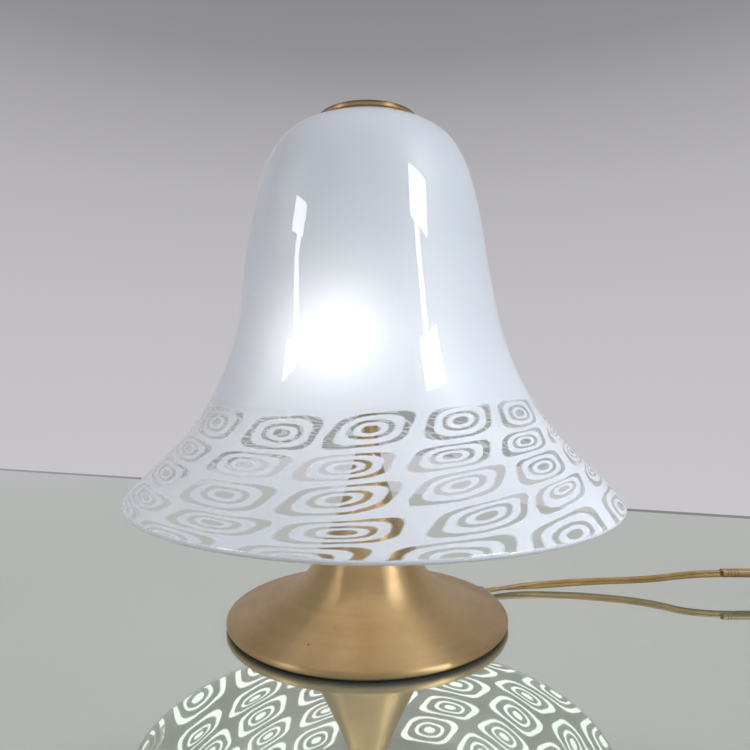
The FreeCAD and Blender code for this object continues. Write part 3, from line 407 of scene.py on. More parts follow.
def group_cane_tiles(tiles):
    """White mask of the skirt: rows of cane slices with ringed hearts, and the opal dome above."""
    tree, given, result = new_group("Cane tiles", {}, ("White", "Dome"))
    plus, minus, times, larger = sums(tree, "ADD", "SUBTRACT", "MULTIPLY", "MAXIMUM")

    def spread(value, low, high, start=0.0, end=1.0):
        return ramp(tree, value, start, end, low, high, smooth=False)

    def size(value):
        return do_math(tree, "ABSOLUTE", value)

    # Where the glass was before the bell leaned and hung askew
    x, y, height = add(tree, "SeparateXYZ", Vector=given[0]).outputs
    across = minus(x, spread(height, 0.0045, 0.0022, 0.088, 0.170))
    askew = plus(plus(times(y, ASKEW_Y), times(across, ASKEW_X)), ASKEW)
    height = minus(height, times(askew, ramp(tree, height, ASKEW_LOW, ASKEW_HIGH, 1.0, 0.0)))
    around = do_math(tree, "ARCTAN2", across, times(y, -1.0))
    # The rows climb round the bell, least at the mouth
    climb = minus(1.0, do_math(tree, "COSINE", plus(times(around, 2.0), math.radians(60.0))))
    share = times(spread(height, 0.2, 1.0, 0.088, 0.105), spread(height, 1.0, 0.7, 0.120, 0.150))
    down = count_rows(tree, minus(height, times(times(climb, share), ROW_CLIMB)))
    sway = add(tree, "TexNoise", Vector=given[0], Scale=16.0, Detail=1.0)
    down = plus(down, spread(sway.outputs["Fac"], -0.04, 0.04, 0.2, 0.8))
    offset = ROW_START
    for border, step in enumerate(ROW_STEPS, 1):
        offset = plus(times(do_math(tree, "GREATER_THAN", down, border), step), offset)
    place = plus(times(around, tiles / (2 * math.pi)), offset)
    # Each slice differs a little in place, slant and outline
    wrapped = do_math(tree, "FLOORED_MODULO", do_math(tree, "FLOOR", place), float(tiles))
    key = add(tree, "CombineXYZ", X=wrapped, Y=do_math(tree, "FLOOR", down), Z=2.0)
    luck = add(tree, "TexWhiteNoise", {"noise_dimensions": "3D"}, Vector=key.outputs[0])
    chance = add(tree, "SeparateColor", Color=luck.outputs["Color"]).outputs
    warp = add(tree, "TexNoise", Vector=given[0], Scale=70.0, Detail=2.0)
    bends = add(tree, "SeparateColor", Color=warp.outputs["Color"]).outputs
    side = plus(minus(do_math(tree, "FRACT", place), 0.5), spread(chance[0], -0.03, 0.03))
    rise = plus(minus(do_math(tree, "FRACT", down), 0.5), spread(chance[1], -0.03, 0.03))
    side = plus(side, spread(bends[0], -0.012, 0.012, 0.25, 0.75))
    rise = plus(rise, spread(bends[1], -0.018, 0.018, 0.25, 0.75))
    side = plus(side, times(rise, spread(chance[2], 0.03, 0.27)))
    wide, tall = times(side, 2.0), times(rise, 2.0)

    def distance(power, shift=0.0):
        """From the slice's middle: 2 is a round form, more is squarer."""
        parts = [do_math(tree, "POWER", size(plus(part, spread(chance[i], -shift, shift))), power)
                 for i, part in ((1, wide), (2, tall))]
        return do_math(tree, "POWER", plus(parts[0], parts[1]), 1 / power)

    def within(value, end):
        return ramp(tree, minus(value, end), -0.03, 0.03, 1.0, 0.0)

    def beyond(value, start):
        return ramp(tree, minus(value, start), -0.03, 0.03)

    # Outwards: clear heart, white, clear ring, white, clear border, and the white ground between slices
    heart = distance(2.3, 0.05)
    clear = larger(within(heart, 0.20), times(beyond(heart, 0.355), within(distance(2.5, 0.03), 0.485)))
    # The border is drawn out to a point at the upper right and the lower left
    corner = times(wide, tall)
    square = plus(distance(4.0), times(corner, 0.10))
    ring = plus(distance(3.0), times(corner, 0.06))
    border_start = plus(times(minus(size(tall), size(wide)), 0.045), 0.685)
    clear = larger(clear, times(beyond(ring, border_start), within(square, 0.845)))
    # Above the rows the opal dome with its soft, uneven end, and round the mouth a thin white line
    rag = add(tree, "TexNoise", Vector=given[0], Scale=26.0, Detail=2.0)
    ends = plus(height, ramp(tree, rag.outputs["Fac"], 0.3, 0.7, -0.0016, 0.0016))
    dome = ramp(tree, ends, 0.1483, 0.1510)
    white = larger(larger(minus(1.0, clear), dome), ramp(tree, height, 0.0874, 0.0880, 1.0, 0.0))
    white = larger(white, ramp(tree, down, 0.0, 0.02, 1.0, 0.0))
    return put_out(tree, result, white, dome)


def group_bulb_glow():
    """Painted glow of the lit bulb in the white glass: a round patch in front, fainter elsewhere."""
    tree, given, result = new_group("Bulb glow", {}, ("Glow",))
    plus, times = sums(tree, "ADD", "MULTIPLY")

    def hump(middle, width, height):
        away = add(tree, "VectorMath", {"operation": "DISTANCE"}, i0=given[0], i1=middle)
        ratio = do_math(tree, "DIVIDE", away.outputs["Value"], width)
        return times(do_math(tree, "EXPONENT", times(times(ratio, ratio), -1.0)), height)

    near = plus(hump(PATCH_SPOT, 0.028, 0.56), hump(PATCH_SPOT, 0.057, 0.34))
    height = add(tree, "SeparateXYZ", Vector=given[0]).outputs[2]
    # Painted faint glow of the bulb through the white of the skirt
    skirt = ramp(tree, height, 0.130, 0.152, 0.13, 0.0)
    return put_out(tree, result, plus(plus(near, hump(BULB_SPOT, 0.085, 0.10)), skirt))


def principled(tree, **inputs):
    return add(tree, "BsdfPrincipled", **inputs)


def finished(material, shader):
    """The material, with the shader as its surface."""
    add(material.node_tree, "OutputMaterial", Surface=shader.outputs[0])
    return material


def position(tree):
    return add(tree, "TexCoord").outputs["Object"]


def bump(tree, height, distance, strength=1.0):
    return add(tree, "Bump", Height=height, Distance=distance, Strength=strength).outputs[0]


def turned_gloss(tree, shader, anisotropic):
    """Gloss drawn out across the lines that turning leaves round the lamp's axis."""
    shader.inputs["Anisotropic"].default_value = anisotropic
    tangent = add(tree, "Tangent", {"direction_type": "RADIAL", "axis": "Z"})
    tree.links.new(tangent.outputs[0], shader.inputs["Tangent"])
    shader.inputs["Anisotropic Rotation"].default_value = 0.25


def solid_finish(name, groups, pale, dark, roughness, metallic=0.0, scale=40.0, grain=900.0, relief=0.00002,
                 specks=0.0, coat=0.0, rings=0.0, anisotropic=0.0):
    """General finish: cloudy colour, varied roughness, fine relief, and turned lines where rings is set."""
    material, tree = new_material(name)
    plus, times = sums(tree, "ADD", "MULTIPLY")
    spot = position(tree)
    tone = place_group(tree, groups["mottle"], Position=spot, Scale=scale, Grain=grain, Specks=specks)
    colour = blend_colours(tree, tone["Cloud"], dark, pale)
    colour = blend_colours(tree, tone["Speck"], colour, [c * 0.25 for c in dark])
    height = tone["Grain"]
    rough = ramp(tree, tone["Cloud"], 0, 1, roughness[1], roughness[0], smooth=False)
    if rings:
        lines = place_group(tree, groups["lines"], Position=spot, Pitch=rings)
        height = plus(times(height, 0.2), lines["Line"])
        rough = plus(rough, ramp(tree, lines["Line"], 0.3, 0.7, -0.05, 0.05), clamp=True)
    shader = principled(tree, Base_Color=colour, Roughness=rough, Normal=bump(tree, height, relief),
                        Metallic=metallic, Coat_Weight=coat, Coat_Roughness=0.12)
    if anisotropic:
        turned_gloss(tree, shader, anisotropic)
    return finished(material, shader)


def satin_brass(groups, settings):
    """Brushed brass under lacquer: turned lines, browner towards the left and right sides, painted dark
    reflection round the cap's rim, painted shade at the foot's lowest edge, small dark spots.
    """
    material, tree = new_material("Satin brass")
    plus, times = sums(tree, "ADD", "MULTIPLY")
    spot = position(tree)
    tone = place_group(tree, groups["mottle"], Position=spot, Scale=26.0, Grain=1400.0, Specks=0.012)
    lines = place_group(tree, groups["lines"], Position=spot, Pitch=settings.groove_pitch)
    x, _, height = add(tree, "SeparateXYZ", Vector=spot).outputs
    # Browner towards the left and right sides, and in the cloudy tone and the turned bands
    brown_share = times(ramp(tree, do_math(tree, "ABSOLUTE", x), 0.02, 0.10), 0.42)
    brown_share = plus(brown_share, ramp(tree, tone["Cloud"], 0, 1, 0.26, 0.0, smooth=False))
    brown_share = plus(brown_share, ramp(tree, lines["Band"], 0.35, 0.65, -0.06, 0.06), clamp=True)
    colour = blend_colours(tree, brown_share, tuple(settings.brass_colour), tuple(settings.brass_dark))
    colour = blend_colours(tree, times(tone["Speck"], 0.8), colour, (0.10, 0.06, 0.03))
    # Painted dark reflection in a band round the cap's rim, and painted shade at the foot's lowest edge on
    # the table
    painted_rim_reflection = times(ramp(tree, height, 0.3392, 0.3408), ramp(tree, height, 0.3418, 0.3430, 0.75, 0.0))
    colour = blend_colours(tree, painted_rim_reflection, colour, (0.15, 0.10, 0.05))
    # Painted shade and reflection: the foot's lowest few millimetres darkened where they meet the table and
    # mirror the dark felt
    edge = ramp(tree, height, 0.0012, 0.0032, 0.80, 0.0)
    colour = blend_colours(tree, edge, colour, (0.12, 0.08, 0.035))
    rough = plus(settings.roughness, ramp(tree, lines["Line"], 0.3, 0.7, -0.045, 0.045))
    rough = plus(rough, ramp(tree, tone["Cloud"], 0, 1, 0.04, -0.03, smooth=False))
    shader = principled(tree, Base_Color=colour, Roughness=rough, Metallic=1.0,
                        Normal=bump(tree, lines["Line"], 0.0000035))
    turned_gloss(tree, shader, 0.85)
    return finished(material, shader)


def clear_glass(groups, tint):
    """Blown glass that lets the lamps' light through, so that what is inside stays lit."""
    material, tree = new_material("Clear glass")
    tone = place_group(tree, groups["mottle"], Position=position(tree), Scale=22.0, Grain=60.0)
    colour = blend_colours(tree, tone["Cloud"], tint, [min(1.0, c * 1.01) for c in tint])
    glass = principled(tree, Base_Color=colour, Normal=bump(tree, tone["Cloud"], 0.00006, 0.6), Roughness=0.0,
                       Transmission_Weight=1.0, IOR=1.5)
    through = add(tree, "BsdfTransparent", Color=(*tint, 1.0))
    shadow = add(tree, "LightPath").outputs["Is Shadow Ray"]
    either = add(tree, "MixShader", i0=shadow, i1=glass.outputs[0], i2=through.outputs[0])
    return finished(material, either)


def white_glass(groups, settings):
    """Opal layer and white cane slices; the clear parts of the slices are left open."""
    material, tree = new_material("White glass")
    spot = position(tree)
    tiles = place_group(tree, groups["tiles"], Position=spot)
    glow = place_group(tree, groups["glow"], Position=spot)
    tone = place_group(tree, groups["mottle"], Position=spot, Scale=14.0, Grain=220.0, Specks=0.004)
    white = tuple(settings.white_colour)
    colour = blend_colours(tree, tone["Cloud"], white, [min(1.0, c * 1.035) for c in white])
    # Painted glow of the lit bulb, given out by the white glass as emission
    lit = do_math(tree, "MULTIPLY", glow["Glow"], settings.glow)
    light = add(tree, "VectorMath", {"operation": "SCALE"}, i0=(1.0, 1.0, 1.0), Scale=lit)
    alpha = do_math(tree, "MULTIPLY", tiles["White"], ramp(tree, tiles["Dome"], 0, 1, 0.93, 0.985))
    shader = principled(tree, Base_Color=colour, Alpha=alpha, Normal=bump(tree, tone["Grain"], 0.00002, 0.5),
                        Roughness=0.35, Emission_Strength=1.0, Emission_Color=light.outputs[0])
    return finished(material, shader)


def flex_material(settings):
    """Two cores of stranded copper seen through amber insulation. V runs round the section, U along it."""
    material, tree = new_material("Amber flex")
    plus, times = sums(tree, "ADD", "MULTIPLY")
    along, round_section, _ = add(tree, "SeparateXYZ", Vector=add(tree, "UVMap").outputs[0]).outputs
    twist = do_math(tree, "SINE", plus(times(along, 900.0), times(round_section, 50.0)))
    cloud = add(tree, "TexNoise", Vector=position(tree), Scale=60.0, Detail=3.0).outputs["Fac"]
    base = tuple(settings.colour)
    colour = blend_colours(tree, ramp(tree, twist, -1, 1, 0.0, 0.35), base, (0.72, 0.48, 0.20))
    colour = blend_colours(tree, ramp(tree, cloud, 0.35, 0.65, 0.0, 0.45), colour, [c * 0.55 for c in base])
    # Painted shade: a dark line along each core's outer side, a quarter and three quarters round the section
    groove = do_math(tree, "ABSOLUTE", do_math(tree, "COSINE", times(round_section, 2 * math.pi)))
    colour = blend_colours(tree, ramp(tree, groove, 0.0, 0.22, 0.75, 0.0), colour, (0.10, 0.055, 0.018))
    shader = principled(tree, Base_Color=colour, Roughness=ramp(tree, cloud, 0.3, 0.7, 0.26, 0.42),
                        Normal=bump(tree, twist, 0.00002, 0.4), Coat_Weight=0.5, Coat_Roughness=0.15)
    return finished(material, shader)


MATERIALS = {}


# Finishes of cloudy colour: name, pale, dark, least and most rough, metallic, and what is set besides
FINISHES = {
    "plain_brass": ("Turned brass", (0.62, 0.45, 0.23), (0.46, 0.32, 0.15), (0.12, 0.20), 1.0,
                    dict(rings=0.0006, relief=0.000006, specks=0.01, anisotropic=0.5)),
    "zinc_steel": ("Zinc plate", (0.62, 0.62, 0.60), (0.42, 0.42, 0.40), (0.28, 0.45), 1.0,
                   dict(scale=120.0, grain=1500.0, relief=0.00001)),
    "iron": ("Painted cast iron", (0.060, 0.060, 0.062), (0.030, 0.030, 0.030), (0.55, 0.8), 0.0,
             dict(scale=90.0, grain=700.0, relief=0.00025)),
    "felt": ("Felt", (0.020, 0.040, 0.031), (0.009, 0.018, 0.014), (0.9, 1.0), 0.0,
             dict(scale=300.0, grain=2600.0, relief=0.0003)),
    "ceramic": ("Ceramic", (0.82, 0.80, 0.75), (0.72, 0.70, 0.66), (0.15, 0.3), 0.0,
                dict(scale=60.0, relief=0.00001, coat=0.4)),
    "seal_rubber": ("Seal rubber", (0.36, 0.33, 0.29), (0.27, 0.25, 0.22), (0.6, 0.8), 0.0,
                    dict(scale=200.0, relief=0.00003)),
    "amber_moulding": ("Amber moulding", (0.56, 0.38, 0.14), (0.44, 0.29, 0.10), (0.3, 0.45), 0.0,
                       dict(scale=70.0, grain=1600.0, relief=0.00001, coat=0.3)),
    "gold_plastic": ("Gold moulding", (0.46, 0.31, 0.12), (0.37, 0.25, 0.095), (0.25, 0.4), 0.0,
                     dict(scale=50.0, grain=2200.0, relief=0.000012, coat=0.25)),
    "dark_plastic": ("Dark moulding", (0.045, 0.038, 0.034), (0.024, 0.02, 0.018), (0.35, 0.5), 0.0,
                     dict(scale=80.0, grain=2200.0, relief=0.000015)),
    "nickel_pins": ("Nickel", (0.80, 0.78, 0.74), (0.66, 0.64, 0.61), (0.12, 0.25), 1.0,
                    dict(scale=200.0, grain=1800.0, relief=0.000005)),
}


def make_materials(scene):
    groups = {"mottle": group_mottle(), "lines": group_turned_lines(),
              "tiles": group_cane_tiles(scene.lamp_shade.tiles), "glow": group_bulb_glow()}
    MATERIALS["satin_brass"] = satin_brass(groups, scene.lamp_metal)
    for key, (name, pale, dark, roughness, metallic, more) in FINISHES.items():
        MATERIALS[key] = solid_finish(name, groups, pale, dark, roughness, metallic, **more)
    MATERIALS["bulb_glass"] = bulb_finish(groups)
    MATERIALS["amber_flex"] = flex_material(scene.lamp_flex)
    MATERIALS["clear_glass"] = clear_glass(groups, (0.976, 0.981, 0.970))
    MATERIALS["opal_glass"] = white_glass(groups, scene.lamp_shade)


def bulb_finish(groups):
    """Frosted bulb, lit."""
    material, tree = new_material("Lit frosted bulb")
    tone = place_group(tree, groups["mottle"], Position=position(tree), Scale=60.0, Grain=2400.0)
    colour = blend_colours(tree, tone["Cloud"], (0.92, 0.91, 0.88), (0.98, 0.97, 0.95))
    shader = principled(tree, Base_Color=colour, Roughness=ramp(tree, tone["Grain"], 0.3, 0.7, 0.35, 0.5),
                        Emission_Color=colour, Emission_Strength=2.2)
    return finished(material, shader)


def dress(piece, finish):
    """Every slot of the piece gets this finish; a piece with none gets one."""
    if not piece.material_slots:
        piece.data.materials.append(MATERIALS[finish])
    for holder in piece.material_slots:
        holder.material = MATERIALS[finish]


def carried_over(finishes):
    for finish, names in finishes.items():
        for name in names.split():
            dress(frame["nodes"][name], finish)


# Flex

def flex_line(name, route):
    """One smooth open line whose control points are the route's."""
    data = bpy.data.curves.new(name, "CURVE")
    data.dimensions = "3D"
    line = data.splines.new("NURBS")
    line.points.add(len(route) - 1)
    for point, place in zip(line.points, route):
        point.co = (*place, 1.0)
    line.order_u = 3
    line.use_endpoint_u = True
    data.resolution_u = 14
    holder = bpy.data.objects.new(name + " line", data)
    bpy.context.scene.collection.objects.link(holder)
    bpy.context.view_layer.update()
    mesh = bpy.data.meshes.new_from_object(holder)
    spots = [Vector(v.co) for v in mesh.vertices]
    bpy.data.meshes.remove(mesh)
    bpy.data.objects.remove(holder, do_unlink=True)
    bpy.data.curves.remove(data)
    return spots


def twin_section(width, core, count=14):
    """Outline of the flat twin flex: two round cores with a groove between, as (across, up)."""
    radius = core / 2
    offset = width / 2 - radius
    waist = math.acos(min(1.0, offset / radius)) + 0.10
    section = []
    for side in (1, -1):
        for i in range(count):
            angle = -math.pi + waist + (2 * math.pi - 2 * waist) * i / (count - 1)
            turn = angle if side == 1 else angle + math.pi
            section.append((side * offset + radius * math.cos(turn), radius * math.sin(turn)))
    return section


def flex_tube(name, spots, section, twist):
    """Twin flex along a line: rings of the section, turned by twist(distance) from lying flat."""
    total, along = 0.0, [0.0]
    for a, b in zip(spots, spots[1:]):
        total += (b - a).length
        along.append(total)
    points, faces, uvs = [], [], []
    size = len(section)
    for i, spot in enumerate(spots):
        ahead = (spots[min(i + 1, len(spots) - 1)] - spots[max(i - 1, 0)]).normalized()
        level = ahead.cross(Vector((0, 0, 1))) if abs(ahead.z) < 0.95 else Vector((1, 0, 0)).cross(ahead)
        level.normalize()
        up = level.cross(ahead).normalized()
        turn = twist(along[i])
        across = level * math.cos(turn) + up * math.sin(turn)
        rise = up * math.cos(turn) - level * math.sin(turn)
        points += [spot + across * a + rise * b for a, b in section]
    for i in range(len(spots) - 1):
        for j in range(size):
            k = (j + 1) % size
            faces.append((i * size + j, i * size + k, (i + 1) * size + k, (i + 1) * size + j))
            v0, v1 = j / size, (j + 1) / size
            uvs += [(along[i], v0), (along[i], v1), (along[i + 1], v1), (along[i + 1], v0)]
    last = (len(spots) - 1) * size
    half = size // 2
    for start in (0, last):
        for first in (0, half):
            ends = [start + first + j for j in range(half)]
            faces.append(tuple(ends if start == 0 else ends[::-1]))
            uvs += [(0.0, 0.1)] * half
        bridge = [start + half - 1, start + half, start + size - 1, start]
        faces.append(tuple(bridge if start == 0 else bridge[::-1]))
        uvs += [(0.0, 0.1)] * 4
    mesh = bpy.data.meshes.new(name)
    mesh.from_pydata(points, [], faces)
    layer = mesh.uv_layers.new(name="flex")
    for loop, uv in zip(layer.data, uvs):
        loop.uv = uv
    piece = bpy.data.objects.new(name, mesh)
    bpy.context.scene.collection.objects.link(piece)
    choose(piece)
    bpy.ops.object.mode_set(mode="EDIT")
    turn_faces_outwards()
    bpy.ops.object.shade_smooth_by_angle(angle=math.radians(50))
    dress(piece, "amber_flex")
    return piece


def coil_route():
    """Turns side by side inwards on the table, a climb, then outwards on top of them."""
    route = []
    (x, y), steps = COIL_MIDDLE, 4
    inwards, climb_end, quarters = 14, 16, 29
    for i in range(1, quarters * steps):
        quarter = i / steps
        if quarter <= inwards:
            radius, height = 0.041 - 0.0015 * quarter, COIL_LOW
        elif quarter <= climb_end:
            climbed = (quarter - inwards) / 2
            radius = 0.020 - 0.0024 * math.sin(math.pi * climbed) - 0.0005 * climbed
            height = COIL_LOW + (COIL_HIGH - COIL_LOW) * (3 * climbed ** 2 - 2 * climbed ** 3)
        else:
            radius, height = 0.0195 + 0.0015 * (quarter - climb_end), COIL_HIGH
        radius *= COIL_OUTSIDE
        angle = -quarter * math.pi / 2
        route.append((x + radius * math.cos(angle), y + radius * math.sin(angle), height))
    return route


class LAMP_OT_flex(bpy.types.Operator):
    """Lay the twin flex: the visible lead, the inner lead, and the put-away rest to the plug"""
    bl_idname = "lamp.flex"
    bl_label = "Flex"

    def execute(self, context):
        sizes = context.scene.lamp_flex
        section = twin_section(sizes.width, sizes.core)
        lead = flex_line("lead_flex", LEAD_ROUTE)

        def turn_of_lead(along):
            first = 1 - min(max((along - 0.012) / 0.040, 0.0), 1.0)
            return math.radians(90) * (1 - first) + math.radians(14) * math.sin(along * 40)

        piece = flex_tube("lead_flex", lead, section, turn_of_lead)
        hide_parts("cord_lead")
        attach(piece, "root")
        rest = flex_line("rest_flex", LINK_ROUTE + tuple(coil_route()) + TAIL_ROUTE)
        piece = flex_tube("rest_flex", rest, section, lambda along: math.radians(90))
        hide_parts("cord_link", "cord_coil", "cord_tail")
        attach(piece, "root")
        inner = flex_line("inner_flex", INNER_ROUTE)
        piece = flex_tube("inner_flex", inner, section, lambda along: 0.0)
        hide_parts("cord_inner")
        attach(piece, "root")
        return {"FINISHED"}


# Shade

def white_lip(outer, inner, radius):
    """Arc of the white layer round the wall's end, from its outer face over the edge."""
    middle = (outer[-1] + inner[-1]) / 2
    arm = (outer[-1] - middle) / np.linalg.norm(outer[-1] - middle)
    along = np.array([arm[1], -arm[0]])
    if along @ (outer[-1] - outer[-2]) < 0:
        along = -along
    turns = [math.radians(a) for a in range(0, 121, 12)]
    return [middle + radius * (arm * math.cos(t) + along * math.sin(t)) for t in turns]


def blown(name, outline, sizes, finish):
    """A glass layer spun from its outline, given as points from the hole round the lip and back."""
    piece = turned(name, [tuple(p) for p in outline], sizes.segments, angle=math.radians(60))
    hand_blown(piece, sizes.wobble)
    dress(piece, finish)
    return piece


class LAMP_OT_shade(bpy.types.Operator):
    """Blow the bell: a clear glass wall with the white layer and the cane slices inside it"""
    bl_idname = "lamp.shade"
    bl_label = "Shade"

    def execute(self, context):
        sizes = context.scene.lamp_shade
        outer = curve_through(BELL, 120)
        inner = inset(outer, sizes.wall)
        hole = sizes.hole_radius
        outline = [(hole, outer[0][1]), *outer, *lip(outer, inner, 12), *inner[::-1], (hole, inner[0][1])]
        clear = blown("shade_clear", outline, sizes, "clear_glass")
        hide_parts("shade_glass")
        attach(clear, "shade")
        # The white layer is thick in the dome, thins out in the skirt, nears its face and ends round the lip.
        heights = outer[:, 1]
        depths = (LIP_DEPTH, 0.0014, 0.0022, sizes.white_depth)
        depth = np.interp(heights, (0.0886, 0.096, 0.110, 0.150), depths)
        thick = np.interp(heights, (0.138, 0.158), (LIP_INNER_DEPTH - LIP_DEPTH, sizes.white_thickness))
        near, far = inset(outer, depth), inset(outer, depth + thick)
        over = white_lip(outer, inner, sizes.wall / 2 - LIP_DEPTH)
        back = white_lip(outer, inner, sizes.wall / 2 - LIP_INNER_DEPTH)
        start = hole + 0.0006
        outline = [(start, near[0][1]), *near[:-1], *over, *back[::-1], *far[:-1][::-1], (start, far[0][1])]
        white = blown("shade_white", outline, sizes, "opal_glass")
        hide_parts("shade_opal")
        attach(white, "shade")
        return {"FINISHED"}


# Solids that keep the CAD model's form, by finish
METALWORK = {
    "satin_brass": "base_shell column_ring shade_cap",
    "plain_brass": "upper_sleeve shade_seat lamp_bracket holder_cup holder_shell holder_thread "
                   "holder_contact bulb_contact",
    "zinc_steel": "tie_rod base_plate bottom_nut bottom_washer bracket_nut sleeve_nut holder_screw "
                  "clamp_screws bulb_cap",
    "iron": "ballast",
    "felt": "felt_pad",
    "ceramic": "holder_insert",
    "seal_rubber": "seat_gasket cap_gasket cord_grommet",
    "dark_plastic": "cord_clamp",
    "bulb_glass": "bulb_glass",
}
SWITCH_AND_PLUG = {
    "gold_plastic": "switch_lower switch_upper",
    "dark_plastic": "switch_rocker coil_tie plug_sleeves",
    "amber_moulding": "switch_boot_in switch_boot_out plug_boot plug_body",
    "plain_brass": "switch_contacts",
    "zinc_steel": "switch_screws",
    "nickel_pins": "plug_pins",
}


class LAMP_OT_metalwork(bpy.types.Operator):
    """Finish the foot, the rod's stack, the lamp holder and the cap"""
    bl_idname = "lamp.metalwork"
    bl_label = "Metalwork"

    def execute(self, context):
        carried_over(METALWORK)
        return {"FINISHED"}


class LAMP_OT_switch_and_plug(bpy.types.Operator):
    """Finish the in-line switch, its boots, the plug and the coil's tie"""
    bl_idname = "lamp.switch_and_plug"
    bl_label = "Switch and plug"

    def execute(self, context):
        carried_over(SWITCH_AND_PLUG)
        return {"FINISHED"}


# Stage

# Camera of the photograph: place, dip below level in degrees, lens in mm for a sensor 36 mm wide
CAMERA_SPOT, CAMERA_DIP, CAMERA_LENS, CAMERA_SENSOR = (0.0051, -0.4302, 0.1683), 0.246, 29.92, 36.0
# Corners of the table top: near left, near right, far right, far left
TABLE = ((-2.6, -2.2), (2.6, -2.2), (2.6, -0.415), (-2.6, 1.305))
TABLE_THICKNESS, TABLE_UNDER_LAMP = 0.012, 0.0001
COOL = (0.95, 0.97, 1.0)
LEFT_SIDE, RIGHT_SIDE, BEHIND = (-0.0395, -0.075, 0.235), (0.031, -0.082, 0.220), (0.0, 0.08, 0.2)
# Soft boxes: spot they are seen from, (round, up) of low and high end, width, radiance, colour, seen in gloss
SOFT_BOXES = {
    "Soft box left": (LEFT_SIDE, (-157.0, 26.5), (-157.0, 33.6), 12.5, 9.0, COOL, True),
    "Soft box left stem": (LEFT_SIDE, (-154.4, 16.5), (-154.4, 27.0), 4.5, 9.0, COOL, True),
    "Soft box right": (RIGHT_SIDE, (-38.0, 30.5), (-31.3, 42.2), 15.0, 11.0, COOL, True),
    "Soft box right stem": (RIGHT_SIDE, (-41.5, 21.5), (-40.2, 31.0), 4.0, 11.0, COOL, True),
    "Window": (RIGHT_SIDE, (-18.0, 2.0), (-18.0, 42.0), 40.0, 0.95, (0.66, 0.84, 1.0), False),
    "Window behind": (BEHIND, (80.0, 2.0), (80.0, 45.0), 60.0, 0.85, (0.93, 0.97, 1.0), False),
}
# Narrow lamps on the foot: (round, up) and power
FOOT_LIGHTS = {"Foot light left": ((-151.0, 11.0), 2.6), "Foot light right": ((-33.0, 13.0), 26.0)}
LAMP_DISTANCE = 1.5
# The wall's grey by how far up one looks: as seen, and as mirrored
WALL_SEEN = ((-0.166, 0.578), (-0.04, 0.560), (0.12, 0.527), (0.27, 0.468), (0.375, 0.385), (0.453, 0.290),
             (0.75, 0.150))
WALL_MIRRORED = ((-0.166, 0.578), (0.0, 0.560), (0.28, 0.545), (0.46, 0.55), (0.60, 0.42), (1.0, 0.30))


def heading(around, up):
    around, up = math.radians(around), math.radians(up)
    return Vector((math.cos(up) * math.cos(around), math.cos(up) * math.sin(around), math.sin(up)))


def new_lamp(name, kind, energy, colour):
    data = bpy.data.lights.new(name, kind)
    data.energy, data.color = energy, colour
    lamp = bpy.data.objects.new(name, data)
    bpy.context.scene.collection.objects.link(lamp)
    return lamp


def soft_box(name, spot, low, high, width, radiance, colour, mirrored):
    """Area lamp seen from the spot as a strip from low to high, each (round, up) in degrees, width wide."""
    spot = Vector(spot)
    bottom, top = (spot + heading(*end) * LAMP_DISTANCE for end in (low, high))
    middle = (bottom + top) / 2
    rise = (top - bottom).normalized()
    away = (middle - spot).normalized()
    away = (away - rise * away.dot(rise)).normalized()
    size = (2 * LAMP_DISTANCE * math.tan(math.radians(width / 2)), (top - bottom).length)
    lamp = new_lamp(name, "AREA", radiance * math.pi * size[0] * size[1], colour)
    lamp.data.shape = "RECTANGLE"
    lamp.data.size, lamp.data.size_y = size
    lamp.location = middle
    lamp.rotation_euler = Matrix((rise.cross(away), rise, away)).transposed().to_euler()
    lamp.visible_glossy = mirrored


def foot_light(name, towards, power):
    """Soft narrow lamp that picks out the foot's turned metal alone."""
    lamp = new_lamp(name, "SPOT", power, COOL)
    lamp.data.shadow_soft_size = 0.12
    lamp.data.spot_size, lamp.data.spot_blend = math.radians(9.0), 0.6
    lamp.location = Vector((0.0, 0.0, 0.030)) + heading(*towards) * LAMP_DISTANCE
    lamp.rotation_euler = heading(*towards).to_track_quat("Z", "Y").to_euler()


def stage_world(fill):
    """Room light: even for what is lit, a pale grey wall, darker upwards, for what is seen or mirrored."""
    world = bpy.data.worlds.new("Room")
    bpy.context.scene.world = world
    world.use_nodes = True
    tree = world.node_tree
    tree.nodes.clear()
    direction = add(tree, "TexCoord").outputs["Generated"]
    up = add(tree, "SeparateXYZ", Vector=direction).outputs[2]
    lowest, highest = -0.2, 1.0

    def wall(steps):
        node = add(tree, "ValToRGB", i0=ramp(tree, up, lowest, highest, smooth=False))
        stops = node.color_ramp.elements
        for i, (height, tone) in enumerate(steps):
            stop = stops[i] if i < 2 else stops.new(1.0)
            stop.position = (height - lowest) / (highest - lowest)
            stop.color = (tone, tone * 0.978, tone * 1.03, 1.0)
        return add(tree, "Background", Color=node.outputs[0], Strength=1.0).outputs[0]

    ray = add(tree, "LightPath").outputs
    looks = do_math(tree, "MAXIMUM", ray["Is Camera Ray"], ray["Is Transmission Ray"])
    even = add(tree, "Background", Color=(0.97, 0.985, 1.0, 1.0), Strength=fill)
    both = add(tree, "MixShader", i0=looks, i1=even.outputs[0], i2=wall(WALL_SEEN))
    whole = add(tree, "MixShader", i0=ray["Is Glossy Ray"], i1=both.outputs[0], i2=wall(WALL_MIRRORED))
    add(tree, "OutputWorld", Surface=whole.outputs[0])


